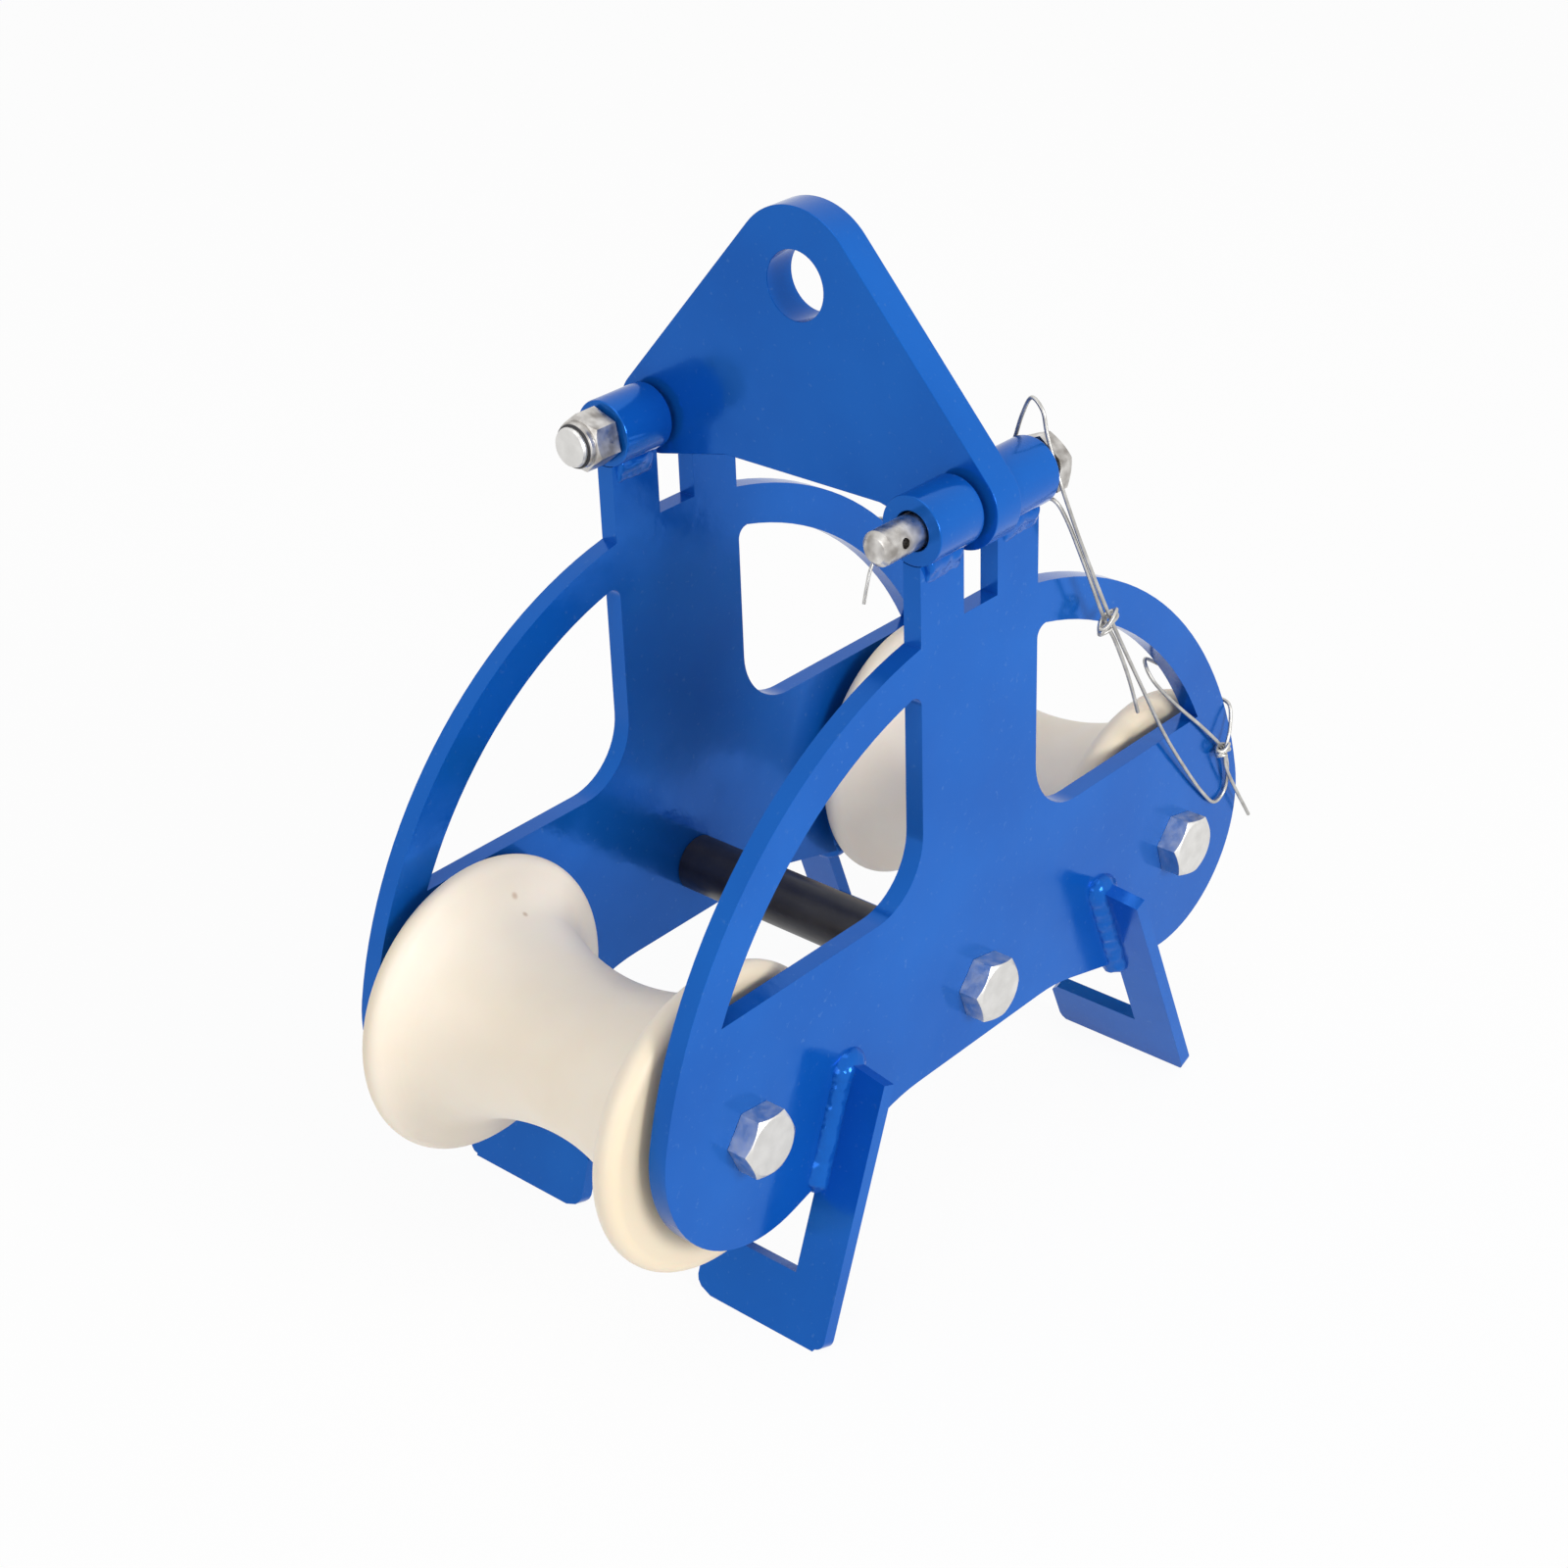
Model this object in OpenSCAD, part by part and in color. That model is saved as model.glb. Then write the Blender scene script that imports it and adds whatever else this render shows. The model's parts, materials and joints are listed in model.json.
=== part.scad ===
/* [Side plates] */
// Clear distance between the two side plates
plate_gap = 144; // [142:1:170]
// Thickness of a side plate
plate_t = 8; // [6:0.5:10]
// Distance between the two roller axles
axle_pitch = 270; // [260:1:300]
// Height of the roller axles above the ground
axle_h = 100; // [90:1:120]
// Radius of the rounded plate ends
end_r = 53; // [46:1:56]
// How far the centre of a rounded end lies inside its axle
end_in = 7; // [0:1:12]
// How far the centre of a rounded end lies above its axle
end_up = 5; // [0:1:10]
// How far the centre of the arch lies below the axles
arch_drop = 23; // [15:1:35]
// Width of the arch band
band_w = 17; // [12:1:24]
// Height of the window sills above the axles
sill_up = 53.5; // [45:0.5:60]
// Width of the middle strap
strap_w = 70; // [60:1:80]
// Radius of the window corner beside the strap
window_r = 27; // [10:1:30]
// Radius of the window corner under the arch
window_top_r = 5; // [2:0.5:8]
// How far the middle of the lower edge lies below the axles
belly_drop = 29; // [22:1:32]
// Slope of the lower edge towards the rounded ends
belly_slope = 15; // [12:1:20]
// Radius that blends the lower edge into its slopes
belly_r = 80; // [40:5:100]
// Width of the slot at the top of the strap
slot_w = 20; // [18:0.5:26]
// Depth of the slot below the sleeve axis
slot_deep = 40.5; // [30:0.5:60]
/* [Head plate] */
// Height of the sleeve axes above the axles
sleeve_up = 202.5; // [195:0.5:230]
// Outer diameter of a sleeve
sleeve_d = 27; // [25:0.5:32]
// Length of a sleeve
sleeve_len = 25; // [20:1:30]
// Gap between the two sleeves on a side plate
sleeve_gap = 20; // [18:0.5:26]
// Thickness of the head plate
head_t = 14; // [10:0.5:16]
// Height of the eye above the sleeve axes
eye_up = 66.8; // [55:0.1:90]
// Radius of the head plate round the eye
eye_out_r = 30; // [24:1:36]
// Diameter of the eye
eye_d = 27; // [20:0.5:32]
// Radius of the ears of the head plate
ear_r = 17; // [14:0.5:20]
// How far the flat lower edge lies below the sleeve axes
head_drop = 8.5; // [0:0.5:10]
// Half width of the flat lower edge
head_flat = 38; // [25:1:50]
/* [Rollers] */
// Length of a roller
roller_len = 134; // [124:1:138]
// Radius at the waist of a roller
waist_r = 32.4; // [30:0.1:36]
// Radius at the rims of a roller
rim_r = 61; // [56:0.5:66]
// Radius of the cable groove along the roller
groove_r = 103; // [95:1:120]
// Radius of the rounded rims
rim_round = 4.5; // [3:0.5:6]
// Slope of the flanks beside the groove
flank_slope = 65; // [55:1:75]
// Radius between the groove and the flanks
flank_r = 20; // [10:1:30]
// Depth of the bearings below the end of a roller
bearing_recess = 1; // [0.5:0.5:3]
// Outer diameter of a bearing
bearing_d = 47; // [42:1:52]
// Bore of a bearing
bearing_bore = 20; // [20:0.5:22]
// Width of a bearing
bearing_w = 14; // [12:1:16]
// Diameter of the bearing balls
ball_d = 7.94; // [6:0.02:8]
// Number of balls in a bearing
ball_n = 8; // [6:1:8]
/* [Feet] */
// Distance from the centre to a foot at its upper end
foot_x = 80; // [70:1:90]
// Height of the upper end of a foot above the axles
foot_up = 4; // [0:1:8]
// Splay of the feet on the near side plate
near_splay = 21.5; // [10:0.5:25]
// Splay of the feet on the far side plate
far_splay = 18.5; // [10:0.5:25]
// Thickness of a foot
foot_t = 6; // [5:0.5:8]
// Width of the leg of a foot
leg_w = 20; // [16:1:24]
// Height of the ground bar of a foot
bar_h = 25; // [18:1:28]
// Distance from the side plate's face to the inner end of the ground bar
bar_in = 45; // [30:1:55]
// Radius of the outer corner of a foot
foot_r = 4.5; // [3:0.5:12]
// Chamfer at the inner end of the ground bar
bar_chamfer = 3.5; // [2:0.5:8]
// Fall of the leg's upper edge towards the outside
leg_fall = 3; // [0:0.5:6]
// Radius of the weld beads beside the legs
foot_bead_r = 5.5; // [3:0.5:7]
/* [Bolts and pin] */
// Diameter of the bolts
bolt_d = 16; // [14:0.5:16]
// Width across flats of bolt heads and nuts
bolt_af = 24; // [22:0.5:26]
// Height of a bolt head
bolt_head_h = 10; // [8:0.5:12]
// Height of the hexagon of a lock nut
nut_hex_h = 11; // [9:0.5:12]
// Height of the round collar of a lock nut
nut_collar_h = 5; // [3:0.5:6]
// How far a bolt end stands out of its nut
bolt_proud = 1; // [0.5:0.5:4]
// Diameter of the washers
washer_d = 30; // [28:1:34]
// Thickness of the washers
washer_t = 3; // [2:0.5:4]
// Gap between the sleeve and the thin lock nut of the hinge bolt
hinge_nut_gap = 8; // [0:0.5:10]
// Height of the hexagon of the thin lock nut
thin_hex_h = 6; // [5:0.5:8]
// Height of the round collar of the thin lock nut
thin_collar_h = 3; // [2:0.5:4]
// How far the tie bolt lies below the roller axles
tie_drop = 3; // [0:0.5:6]
// Outer diameter of the sleeve on the tie bolt
tie_sleeve_d = 24; // [23:0.5:30]
// Diameter of the release pin
pin_d = 13.5; // [12:0.5:15.5]
// How far the release pin stands out of its sleeve
pin_proud = 20.5; // [15:0.5:30]
// Width across flats of the head of the release pin
pin_af = 22; // [20:0.5:24]
// Height of the head of the release pin
pin_head_h = 7.5; // [6:0.5:12]
// Gap under the pin head that holds the lanyard
pin_neck = 3; // [3:0.5:5]
// Distance of the clip hole from the tip of the pin
clip_in = 9.5; // [6:0.5:12]
// Diameter of the clip hole
clip_d = 4; // [3:0.5:5]
/* [Clearances] */
// Clearance round a bolt in its hole
bolt_clear = 0.25; // [0.1:0.05:0.5]
// Clearance round the release pin
pin_clear = 0.75; // [0.3:0.05:0.8]
// Clearance of a seated bearing or spacer
seat_clear = 0.02; // [0.01:0.01:0.05]
// Clearance between a ball and its races
ball_clear = 0.13; // [0.1:0.01:0.2]
/* [Lanyard] */
// Diameter of the lanyard wire
wire_d = 1.6; // [1:0.1:2]
// Diameter of the lanyard crimps
crimp_d = 6; // [5:0.5:8]
// Length of the lanyard crimps
crimp_len = 7; // [5:0.5:10]
/* [Hidden] */
$fn = 96;
paint = [0.14, 0.36, 0.70];
nylon = [0.95, 0.91, 0.84];
zinc = [0.80, 0.80, 0.79];
dark_steel = [0.45, 0.45, 0.47];
black = [0.08, 0.08, 0.10];
wire_grey = [0.55, 0.55, 0.54];
// Side plates: faces, ends, arch and straps
face_in = plate_gap / 2;
face_out = face_in + plate_t;
axle_x = axle_pitch / 2;
end_c = [axle_x - end_in, axle_h + end_up];
arch_z = axle_h - arch_drop;
arch_r = norm([end_c[0], end_c[1] - arch_z]) + end_r;
arch_in_r = arch_r - band_w;
sill_z = axle_h + sill_up;
strap_x = strap_w / 2;
belly_z = axle_h - belly_drop;
tie_z = axle_h - tie_drop;
sleeve_z = axle_h + sleeve_up;
sleeve_y = face_in + plate_t / 2;
sleeve_r = sleeve_d / 2;
sleeve_end = sleeve_gap / 2 + sleeve_len;
slot_z = sleeve_z - slot_deep;
far_out = arch_r + end_r;
// Lower edge: where each slope leaves its rounded end, and the blend at its inner end
slope_foot = end_c - end_r * [sin(belly_slope), cos(belly_slope)];
slope_top_x = slope_foot[0] - (belly_z - slope_foot[1]) / tan(belly_slope);
blend_c = [slope_top_x - belly_r * tan(belly_slope / 2), belly_z - belly_r];
blend_out = blend_c + belly_r * [sin(belly_slope), cos(belly_slope)];
// Window corners: beside the strap, and where the strap meets the arch
corner_c = [strap_x + window_r, sill_z + window_r];
top_x = strap_x + window_top_r;
top_z = arch_z + sqrt(pow(arch_in_r - window_top_r, 2) - top_x * top_x);
// Head plate: tangents from the eye to the ears, and from the lower edge to the ears
eye_c = [0, sleeve_z + eye_up];
ear_c = [sleeve_y, sleeve_z];
ear_gap = norm(ear_c - eye_c);
ear_dir = (ear_c - eye_c) / ear_gap;
ear_cos = (eye_out_r - ear_r) / ear_gap;
ear_out = ear_dir * ear_cos + [-ear_dir[1], ear_dir[0]] * sqrt(1 - ear_cos * ear_cos);
hem = [head_flat, sleeve_z - head_drop];
hem_to_ear = ear_c - hem;
hem_len = norm(hem_to_ear);
hem_a = atan2(hem_to_ear[1], hem_to_ear[0]) - asin(ear_r / hem_len);
hem_end = hem + sqrt(hem_len * hem_len - ear_r * ear_r) * [cos(hem_a), sin(hem_a)];
// Roller profile, as [radius, distance from the middle]
half_len = roller_len / 2;
rim_c = [rim_r - rim_round, half_len - rim_round];
flank_dir = [sin(flank_slope), cos(flank_slope)];
flank_side = [cos(flank_slope), -sin(flank_slope)];
flank_top = rim_c + rim_round * flank_side;
groove_c = [waist_r + groove_r, 0];
fillet_from = flank_top + flank_r * flank_side - groove_c;
fillet_dot = fillet_from * flank_dir;
fillet_root = pow(groove_r - flank_r, 2) - fillet_from * fillet_from + fillet_dot * fillet_dot;
fillet_t = -fillet_dot - sqrt(fillet_root);
fillet_c = groove_c + fillet_from + fillet_t * flank_dir;
flank_low = flank_top + fillet_t * flank_dir;
groove_end = groove_c + groove_r * (fillet_c - groove_c) / norm(fillet_c - groove_c);
// Bearings: races, balls and what spaces them
bearing_in = half_len - bearing_recess - bearing_w;
bearing_mid = bearing_in + bearing_w / 2;
pitch_r = (bearing_bore + bearing_d) / 4;
race_r = ball_d / 2 + ball_clear;
ring_gap = ball_d * 0.32;
inner_ring_r = pitch_r - ring_gap;
outer_ring_r = pitch_r + ring_gap;
roller_bore_r = bearing_d / 2 - 5;
cage_t = 1.9;
cage_w = ball_d + 2.4;
pocket_clear = 0.2;
seal_t = 1;
seal_in = 0.6;
seal_gap = 0.15;
tube_r = bearing_bore / 2 - seat_clear;
tube_bore_r = bolt_d / 2 + bolt_clear;
spacer_r = inner_ring_r - 1.3;
tie_sleeve_gap = 0.5;
tie_sleeve_bore = tube_r + 0.1;
// Feet: the splayed plane of a foot, in heights along its slope
foot_y_in = face_out - bar_in;
foot_y_out = face_out + leg_w;
foot_below = 3;
bead_r = 3;
bead_off = 0.6;
bead_end = 1;
bead_tip = 3;
sleeve_bead_z = sleeve_z - sqrt(sleeve_r * sleeve_r - plate_t * plate_t / 4);
// Bolts: heads stand on the near plate, nuts on the far one
chamfer_slope = 30;
collar_r = bolt_af * 0.46;
nut_clear = 0.1;
nut_h = nut_hex_h + nut_collar_h;
axle_bolt_len = 2 * face_out + washer_t + nut_h + bolt_proud;
thin_nut_h = thin_hex_h + thin_collar_h;
hinge_bolt_len = 2 * sleeve_end + hinge_nut_gap + thin_nut_h + bolt_proud;
left_head_turn = 6;
right_head_turn = 13;
tie_head_turn = 11;
hinge_head_turn = 10;
pin_tip_x = -sleeve_end - pin_proud;
pin_head_x = sleeve_end + pin_neck;
pin_chamfer = 2;
pin_head_turn = 8;
clip_turn = -10;
// Lanyard: one wire from its short end, round the neck of the pin, down to the right
// arch band, round it and back to its loose end
lanyard_points = [
    [98, -84, 178], [86, -87, 200], [75, -88, 220], [67, -88.6, 232], [52, -88.6, 262],
    [41, -88, 284], [37, -85, 292], [36.5, -78, 291], [36.5, -69, 294], [36.5, -65, 303],
    [36.5, -68, 314], [36.5, -71, 323], [36.5, -75, 330], [36.5, -80, 326],
    [36.5, -82, 318], [36.5, -86, 306], [38, -90, 293], [50, -90, 268], [69, -90, 232],
    [98, -86, 189], [117, -84.5, 160], [136, -83, 135], [151, -82, 117],
    [162, -81.4, 107], [170, -81.4, 110], [170, -82, 122], [163, -83, 134],
    [149, -82, 149], [131, -81.5, 166], [116, -79, 183], [118, -73, 190],
    [129, -70.6, 184], [145, -70.4, 172], [159, -70.5, 160.5], [168.5, -71, 154.5],
    [171.4, -76, 151.6], [170.6, -81.5, 149.8], [167.5, -84, 141], [164, -84.6, 132],
    [167, -84, 121], [186, -84, 91]];
crimps = [[[68, -89.3, 232], [11, 1, -20]], [[163.5, -83.8, 133], [2, 0, -10]]];
tie_points = [
    [111, 70, 176.5], [113.8, 70.3, 184.5], [117.6, 70.9, 191.6], [125.2, 71, 199.6],
    [131.4, 71, 205.4], [133.2, 73.6, 207.2], [133.2, 78.4, 207.2], [131.4, 81, 205.4],
    [125.2, 81, 199.6], [119.2, 81, 193.6], [117.9, 78.4, 192.3], [117.9, 74, 192.3]];
wire_sides = 8;

// Halfway point of the smooth curve between two points of a route
function halfway(p, i) =
    let (a = p[max(i - 1, 0)], d = p[min(i + 2, len(p) - 1)])
    (9 * (p[i] + p[i + 1]) - a - d) / 16;

// The points of a route with the halfway points of the curve between them
function smooth(p) =
    [for (i = [0:2 * len(p) - 2]) i % 2 == 0 ? p[i / 2] : halfway(p, (i - 1) / 2)];

function unit(v) = v / norm(v);

// Direction of a route at each of its points
function headings(p) =
    [for (i = [0:len(p) - 1]) unit(p[min(i + 1, len(p) - 1)] - p[max(i - 1, 0)])];

// Side direction at each point, carried along so that the rings do not twist
function sides(t, i = 0, s = [0, 1, 0]) =
    let (n = unit(s - (s * t[i]) * t[i]))
    i == len(t) - 1 ? [n] : concat([n], sides(t, i + 1, n));

// Round wire swept along a route
module wire(route) {
    p = smooth(route);
    t = headings(p);
    s = sides(t);
    n = wire_sides;
    last = len(p) - 1;
    rings = [for (i = [0:last]) for (k = [0:n - 1])
        let (a = 360 * k / n)
        p[i] + wire_d / 2 * (cos(a) * s[i] + sin(a) * cross(t[i], s[i]))];
    walls = [for (i = [0:last - 1]) for (k = [0:n - 1]) for (half = [0:1])
        let (a = i * n + k, b = i * n + (k + 1) % n)
        half == 0 ? [a, a + n, b] : [b, a + n, b + n]];
    start = [[for (k = [0:n - 1]) k]];
    finish = [[for (k = [n - 1:-1:0]) last * n + k]];
    polyhedron(points = rings, faces = concat(walls, start, finish), convexity = 10);
}

// Turns a shape that stands along Z so that it points along +Y
module along_y() {
    rotate([-90, 0, 0]) children();
}

// Turns a shape that stands along Z so that it points along +X
module along_x() {
    rotate([0, 90, 0]) children();
}

// Keeps a shape and adds its mirror image across the middle of the frame
module both_ends() {
    children();
    mirror([1, 0, 0]) children();
}

// Ring or tube standing on Z = 0
module tube(outer, inner, h) {
    difference() {
        cylinder(h = h, r = outer);
        translate([0, 0, -1]) cylinder(h = h + 2, r = inner);
    }
}

// Right half of the lower beam, under the window
module beam_2d() {
    difference() {
        polygon([
            [0, belly_z], [blend_c[0], belly_z], blend_out, slope_foot, end_c,
            [axle_x, sill_z], [0, sill_z]]);
        translate(blend_c) circle(r = belly_r, $fn = 360);
    }
}

// Sector of the arch above the rounded ends
module arch_2d() {
    rise = end_c[1] - arch_z;
    reach = far_out / end_c[0];
    intersection() {
        translate([0, arch_z]) circle(r = arch_r, $fn = 360);
        polygon([
            [0, arch_z], [reach * end_c[0], arch_z + reach * rise],
            [reach * end_c[0], arch_z + far_out], [-reach * end_c[0], arch_z + far_out],
            [-reach * end_c[0], arch_z + reach * rise]]);
    }
}

// Right window: between the strap, the sill and the arch band
module window_2d() {
    intersection() {
        translate([0, arch_z]) circle(r = arch_in_r, $fn = 360);
        union() {
            translate([corner_c[0], sill_z]) square([far_out, far_out]);
            translate([top_x, corner_c[1]]) square([far_out, far_out]);
            translate([strap_x, corner_c[1]]) square([far_out, top_z - corner_c[1]]);
            translate(corner_c) circle(r = window_r);
            translate([top_x, top_z]) circle(r = window_top_r, $fn = 48);
        }
    }
}

// Outline of a side plate with its windows, slot and bolt holes
module side_plate_2d() {
    difference() {
        union() {
            both_ends() {
                beam_2d();
                translate(end_c) circle(r = end_r);
            }
            arch_2d();
            translate([-strap_x, sill_z]) square([strap_w, sleeve_z - sill_z]);
        }
        both_ends() {
            window_2d();
            translate([axle_x, axle_h]) circle(r = bolt_d / 2 + bolt_clear);
        }
        translate([0, tie_z]) circle(r = bolt_d / 2 + bolt_clear);
        translate([-slot_w / 2, slot_z]) square([slot_w, far_out]);
    }
}

// Side plate between its inner face and its outer face, coped under the sleeves
module side_plate(side) {
    color(paint) difference() {
        translate([0, side > 0 ? face_out : -face_in, 0])
            rotate([90, 0, 0]) linear_extrude(plate_t) side_plate_2d();
        translate([-strap_w, side * sleeve_y, sleeve_z])
            along_x() cylinder(h = 2 * strap_w, r = sleeve_r);
    }
}

// Splay of the feet on one side plate
function splay(side) = side < 0 ? near_splay : far_splay;

// Distance of a foot's plane from the middle of the frame, on the ground
function foot_x_low(side) = foot_x + (axle_h + foot_up) * tan(splay(side));

// Upper end of a leg, along its slope
function leg_top(side) = (axle_h + foot_up) / cos(splay(side));

// Where the plane of a foot crosses the lower edge of its plate, along its slope
function leg_edge(side) =
    let (rise = tan(belly_slope), run = foot_x_low(side) - slope_foot[0])
    (slope_foot[1] - run * rise) / (cos(splay(side)) - sin(splay(side)) * rise);

// L-shaped outline of a foot: the leg outside the plate and the bar on the ground
module foot_2d(side) {
    polygon([
        [foot_y_in + bar_chamfer, -foot_below], [foot_y_out - foot_r, -foot_below],
        [foot_y_out - foot_r, foot_r], [foot_y_out, foot_r],
        [foot_y_out, leg_top(side) - leg_fall], [face_out, leg_top(side)], [face_out, bar_h],
        [foot_y_in + bar_chamfer, bar_h], [foot_y_in, bar_h - bar_chamfer],
        [foot_y_in, bar_chamfer], [foot_y_in + bar_chamfer, 0]]);
    translate([foot_y_out - foot_r, foot_r]) circle(r = foot_r);
}

// Places a shape in the splayed plane of the foot at one corner of the frame
module foot_place(end, side) {
    mirror([end < 0 ? 1 : 0, 0, 0])
        mirror([0, side < 0 ? 1 : 0, 0])
            translate([foot_x_low(side), 0, 0]) rotate([0, -splay(side), 0]) children();
}

// Foot, cut level where it stands on the ground
module foot(end, side) {
    color(paint) difference() {
        foot_place(end, side)
            rotate([90, 0, 90]) translate([0, 0, -foot_t / 2])
                linear_extrude(foot_t) foot_2d(side);
        translate([-far_out, -far_out, -far_out]) cube([2 * far_out, 2 * far_out, far_out]);
    }
}

// Two weld beads between a leg and the side plate's face, in the plane of the foot
module foot_beads(side) {
    low = leg_edge(side) + bead_end;
    high = leg_top(side) - 2 * bead_end;
    for (s = [-1, 1]) {
        difference() {
            translate([s * (foot_t / 2 + bead_off), face_out + bead_off, 0]) {
                translate([0, 0, low]) cylinder(h = high - low, r = foot_bead_r, $fn = 32);
                translate([0, 0, high])
                    cylinder(h = bead_tip, r1 = foot_bead_r, r2 = foot_bead_r / 2, $fn = 32);
            }
            translate([-foot_t / 2, 0, 0]) cube([foot_t, 2 * face_out, 2 * high]);
            translate([-foot_t - 2 * foot_bead_r, 0, 0])
                cube([2 * (foot_t + 2 * foot_bead_r), face_out, 2 * high]);
        }
    }
}

module foot_welds() {
    color(paint) for (end = [-1, 1]) for (side = [-1, 1])
        foot_place(end, side) foot_beads(side);
}

// Short sleeve welded on top of one prong of the strap
module sleeve(end, side) {
    bore = side < 0 ? pin_d / 2 + pin_clear : bolt_d / 2 + bolt_clear;
    start = end < 0 ? -sleeve_end : sleeve_gap / 2;
    color(paint) translate([start, side * sleeve_y, sleeve_z])
        along_x() tube(sleeve_r, bore, sleeve_len);
}

// Weld beads between the sleeves and the plate's two faces
module sleeve_welds() {
    color(paint) for (end = [-1, 1]) for (side = [-1, 1]) for (s = [-1, 1]) {
        bead_y = side * sleeve_y + s * (plate_t / 2 + bead_off);
        start = end < 0 ? -sleeve_end + bead_end : sleeve_gap / 2 + bead_end;
        difference() {
            translate([start, bead_y, sleeve_bead_z - bead_off])
                along_x() cylinder(h = sleeve_len - 2 * bead_end, r = bead_r, $fn = 32);
            translate([-strap_w, side * sleeve_y - plate_t / 2, slot_z])
                cube([2 * strap_w, plate_t, 2 * slot_deep]);
            translate([-strap_w, side * sleeve_y, sleeve_z])
                along_x() cylinder(h = 2 * strap_w, r = sleeve_r);
        }
    }
}

// Right half of the head plate's outline, from the middle to an ear
module head_half_2d() {
    polygon([
        [0, hem[1]], hem, hem_end, ear_c, ear_c + ear_r * ear_out, eye_c + eye_out_r * ear_out,
        eye_c]);
    translate(ear_c) circle(r = ear_r);
}

// Head plate across the frame, with the eye at its top and an ear between each two sleeves
module head_plate() {
    color(paint) difference() {
        translate([-head_t / 2, 0, 0]) rotate([90, 0, 90]) linear_extrude(head_t) union() {
            both_ends() head_half_2d();
            translate(eye_c) circle(r = eye_out_r);
        }
        translate([-head_t, eye_c[0], eye_c[1]])
            along_x() cylinder(h = 2 * head_t, r = eye_d / 2);
        translate([-head_t, sleeve_y, sleeve_z])
            along_x() cylinder(h = 2 * head_t, r = bolt_d / 2 + bolt_clear);
        translate([-head_t, -sleeve_y, sleeve_z])
            along_x() cylinder(h = 2 * head_t, r = pin_d / 2 + pin_clear);
    }
}

// Hexagon with chamfered upper corners, standing on Z = 0
module hexagon(h, af = bolt_af) {
    top_r = af * 0.48;
    intersection() {
        cylinder(h = h, r = af / 2 / cos(30), $fn = 6);
        cylinder(h = h, r1 = top_r + h / tan(chamfer_slope), r2 = top_r);
    }
}

// Bolt whose head's seat is at Z = 0, with the shank along +Z
module bolt(len, turn) {
    color(zinc) union() {
        rotate([0, 0, turn]) mirror([0, 0, 1]) hexagon(bolt_head_h);
        cylinder(h = len - bolt_proud, r = bolt_d / 2);
        translate([0, 0, len - bolt_proud])
            cylinder(h = bolt_proud, r1 = bolt_d / 2, r2 = bolt_d / 2 - bolt_proud / 2);
    }
}

// Lock nut standing on Z = 0: a hexagon with a round collar
module lock_nut(turn, hex_h = nut_hex_h, collar_h = nut_collar_h) {
    top = hex_h + collar_h;
    color(zinc) difference() {
        union() {
            rotate([0, 0, turn]) hexagon(hex_h);
            translate([0, 0, hex_h / 2])
                cylinder(h = top - hex_h / 2 - bolt_proud, r = collar_r);
            translate([0, 0, top - bolt_proud])
                cylinder(h = bolt_proud, r1 = collar_r, r2 = collar_r - bolt_proud);
        }
        translate([0, 0, -1]) cylinder(h = top + 2, r = bolt_d / 2 + nut_clear);
    }
}

module axle_bolt(x, z, turn) {
    translate([x, -face_out, z]) along_y() bolt(axle_bolt_len, turn);
}

module axle_washer(x, z) {
    color(zinc) translate([x, face_out, z])
        along_y() tube(washer_d / 2, bolt_d / 2 + bolt_clear, washer_t);
}

module axle_nut(x, z, turn) {
    translate([x, face_out + washer_t, z]) along_y() lock_nut(turn);
}

// Steel tube clamped between the side plates round an axle bolt
module axle_tube(x, z) {
    color(dark_steel) translate([x, -face_in, z])
        along_y() tube(tube_r, tube_bore_r, plate_gap);
}

// Long ring between the two bearings and a short ring between each bearing and its plate
module distance_rings(x) {
    bore = tube_r + seat_clear;
    outside = bearing_in + bearing_w;
    color(dark_steel) translate([x, 0, axle_h]) along_y() {
        translate([0, 0, -bearing_in]) tube(spacer_r, bore, 2 * bearing_in);
        translate([0, 0, outside]) tube(spacer_r, bore, face_in - outside);
        translate([0, 0, -face_in]) tube(spacer_r, bore, face_in - outside);
    }
}

// Black sleeve that covers the tube on the tie bolt
module tie_sleeve() {
    color(black) translate([0, -face_in + tie_sleeve_gap, tie_z])
        along_y() tube(tie_sleeve_d / 2, tie_sleeve_bore, plate_gap - 2 * tie_sleeve_gap);
}

// Places a shape at both bearings of the roller at x, with its axis along Z
module at_bearings(x) {
    for (side = [-1, 1])
        translate([x, side * bearing_mid, axle_h]) along_y() children();
}

// Groove in which the balls run
module race() {
    rotate_extrude() translate([pitch_r, 0]) circle(r = race_r, $fn = 48);
}

module inner_rings(x) {
    color(zinc) at_bearings(x) difference() {
        translate([0, 0, -bearing_w / 2])
            tube(inner_ring_r, bearing_bore / 2 + seat_clear, bearing_w);
        race();
    }
}

module outer_rings(x) {
    color(zinc) at_bearings(x) difference() {
        translate([0, 0, -bearing_w / 2])
            tube(bearing_d / 2, outer_ring_r, bearing_w);
        race();
    }
}

// Places a shape at each ball of a bearing
module at_balls() {
    for (i = [0:ball_n - 1])
        rotate([0, 0, 360 * i / ball_n]) translate([pitch_r, 0, 0]) children();
}

module balls(x) {
    color(zinc) at_bearings(x) at_balls() sphere(r = ball_d / 2, $fn = 32);
}

// Ring with a pocket for each ball
module cages(x) {
    color(dark_steel) at_bearings(x) difference() {
        translate([0, 0, -cage_w / 2])
            tube(pitch_r + cage_t / 2, pitch_r - cage_t / 2, cage_w);
        at_balls() translate([-cage_t, 0, 0])
            along_x() cylinder(h = 2 * cage_t, r = ball_d / 2 + pocket_clear, $fn = 48);
    }
}

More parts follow.
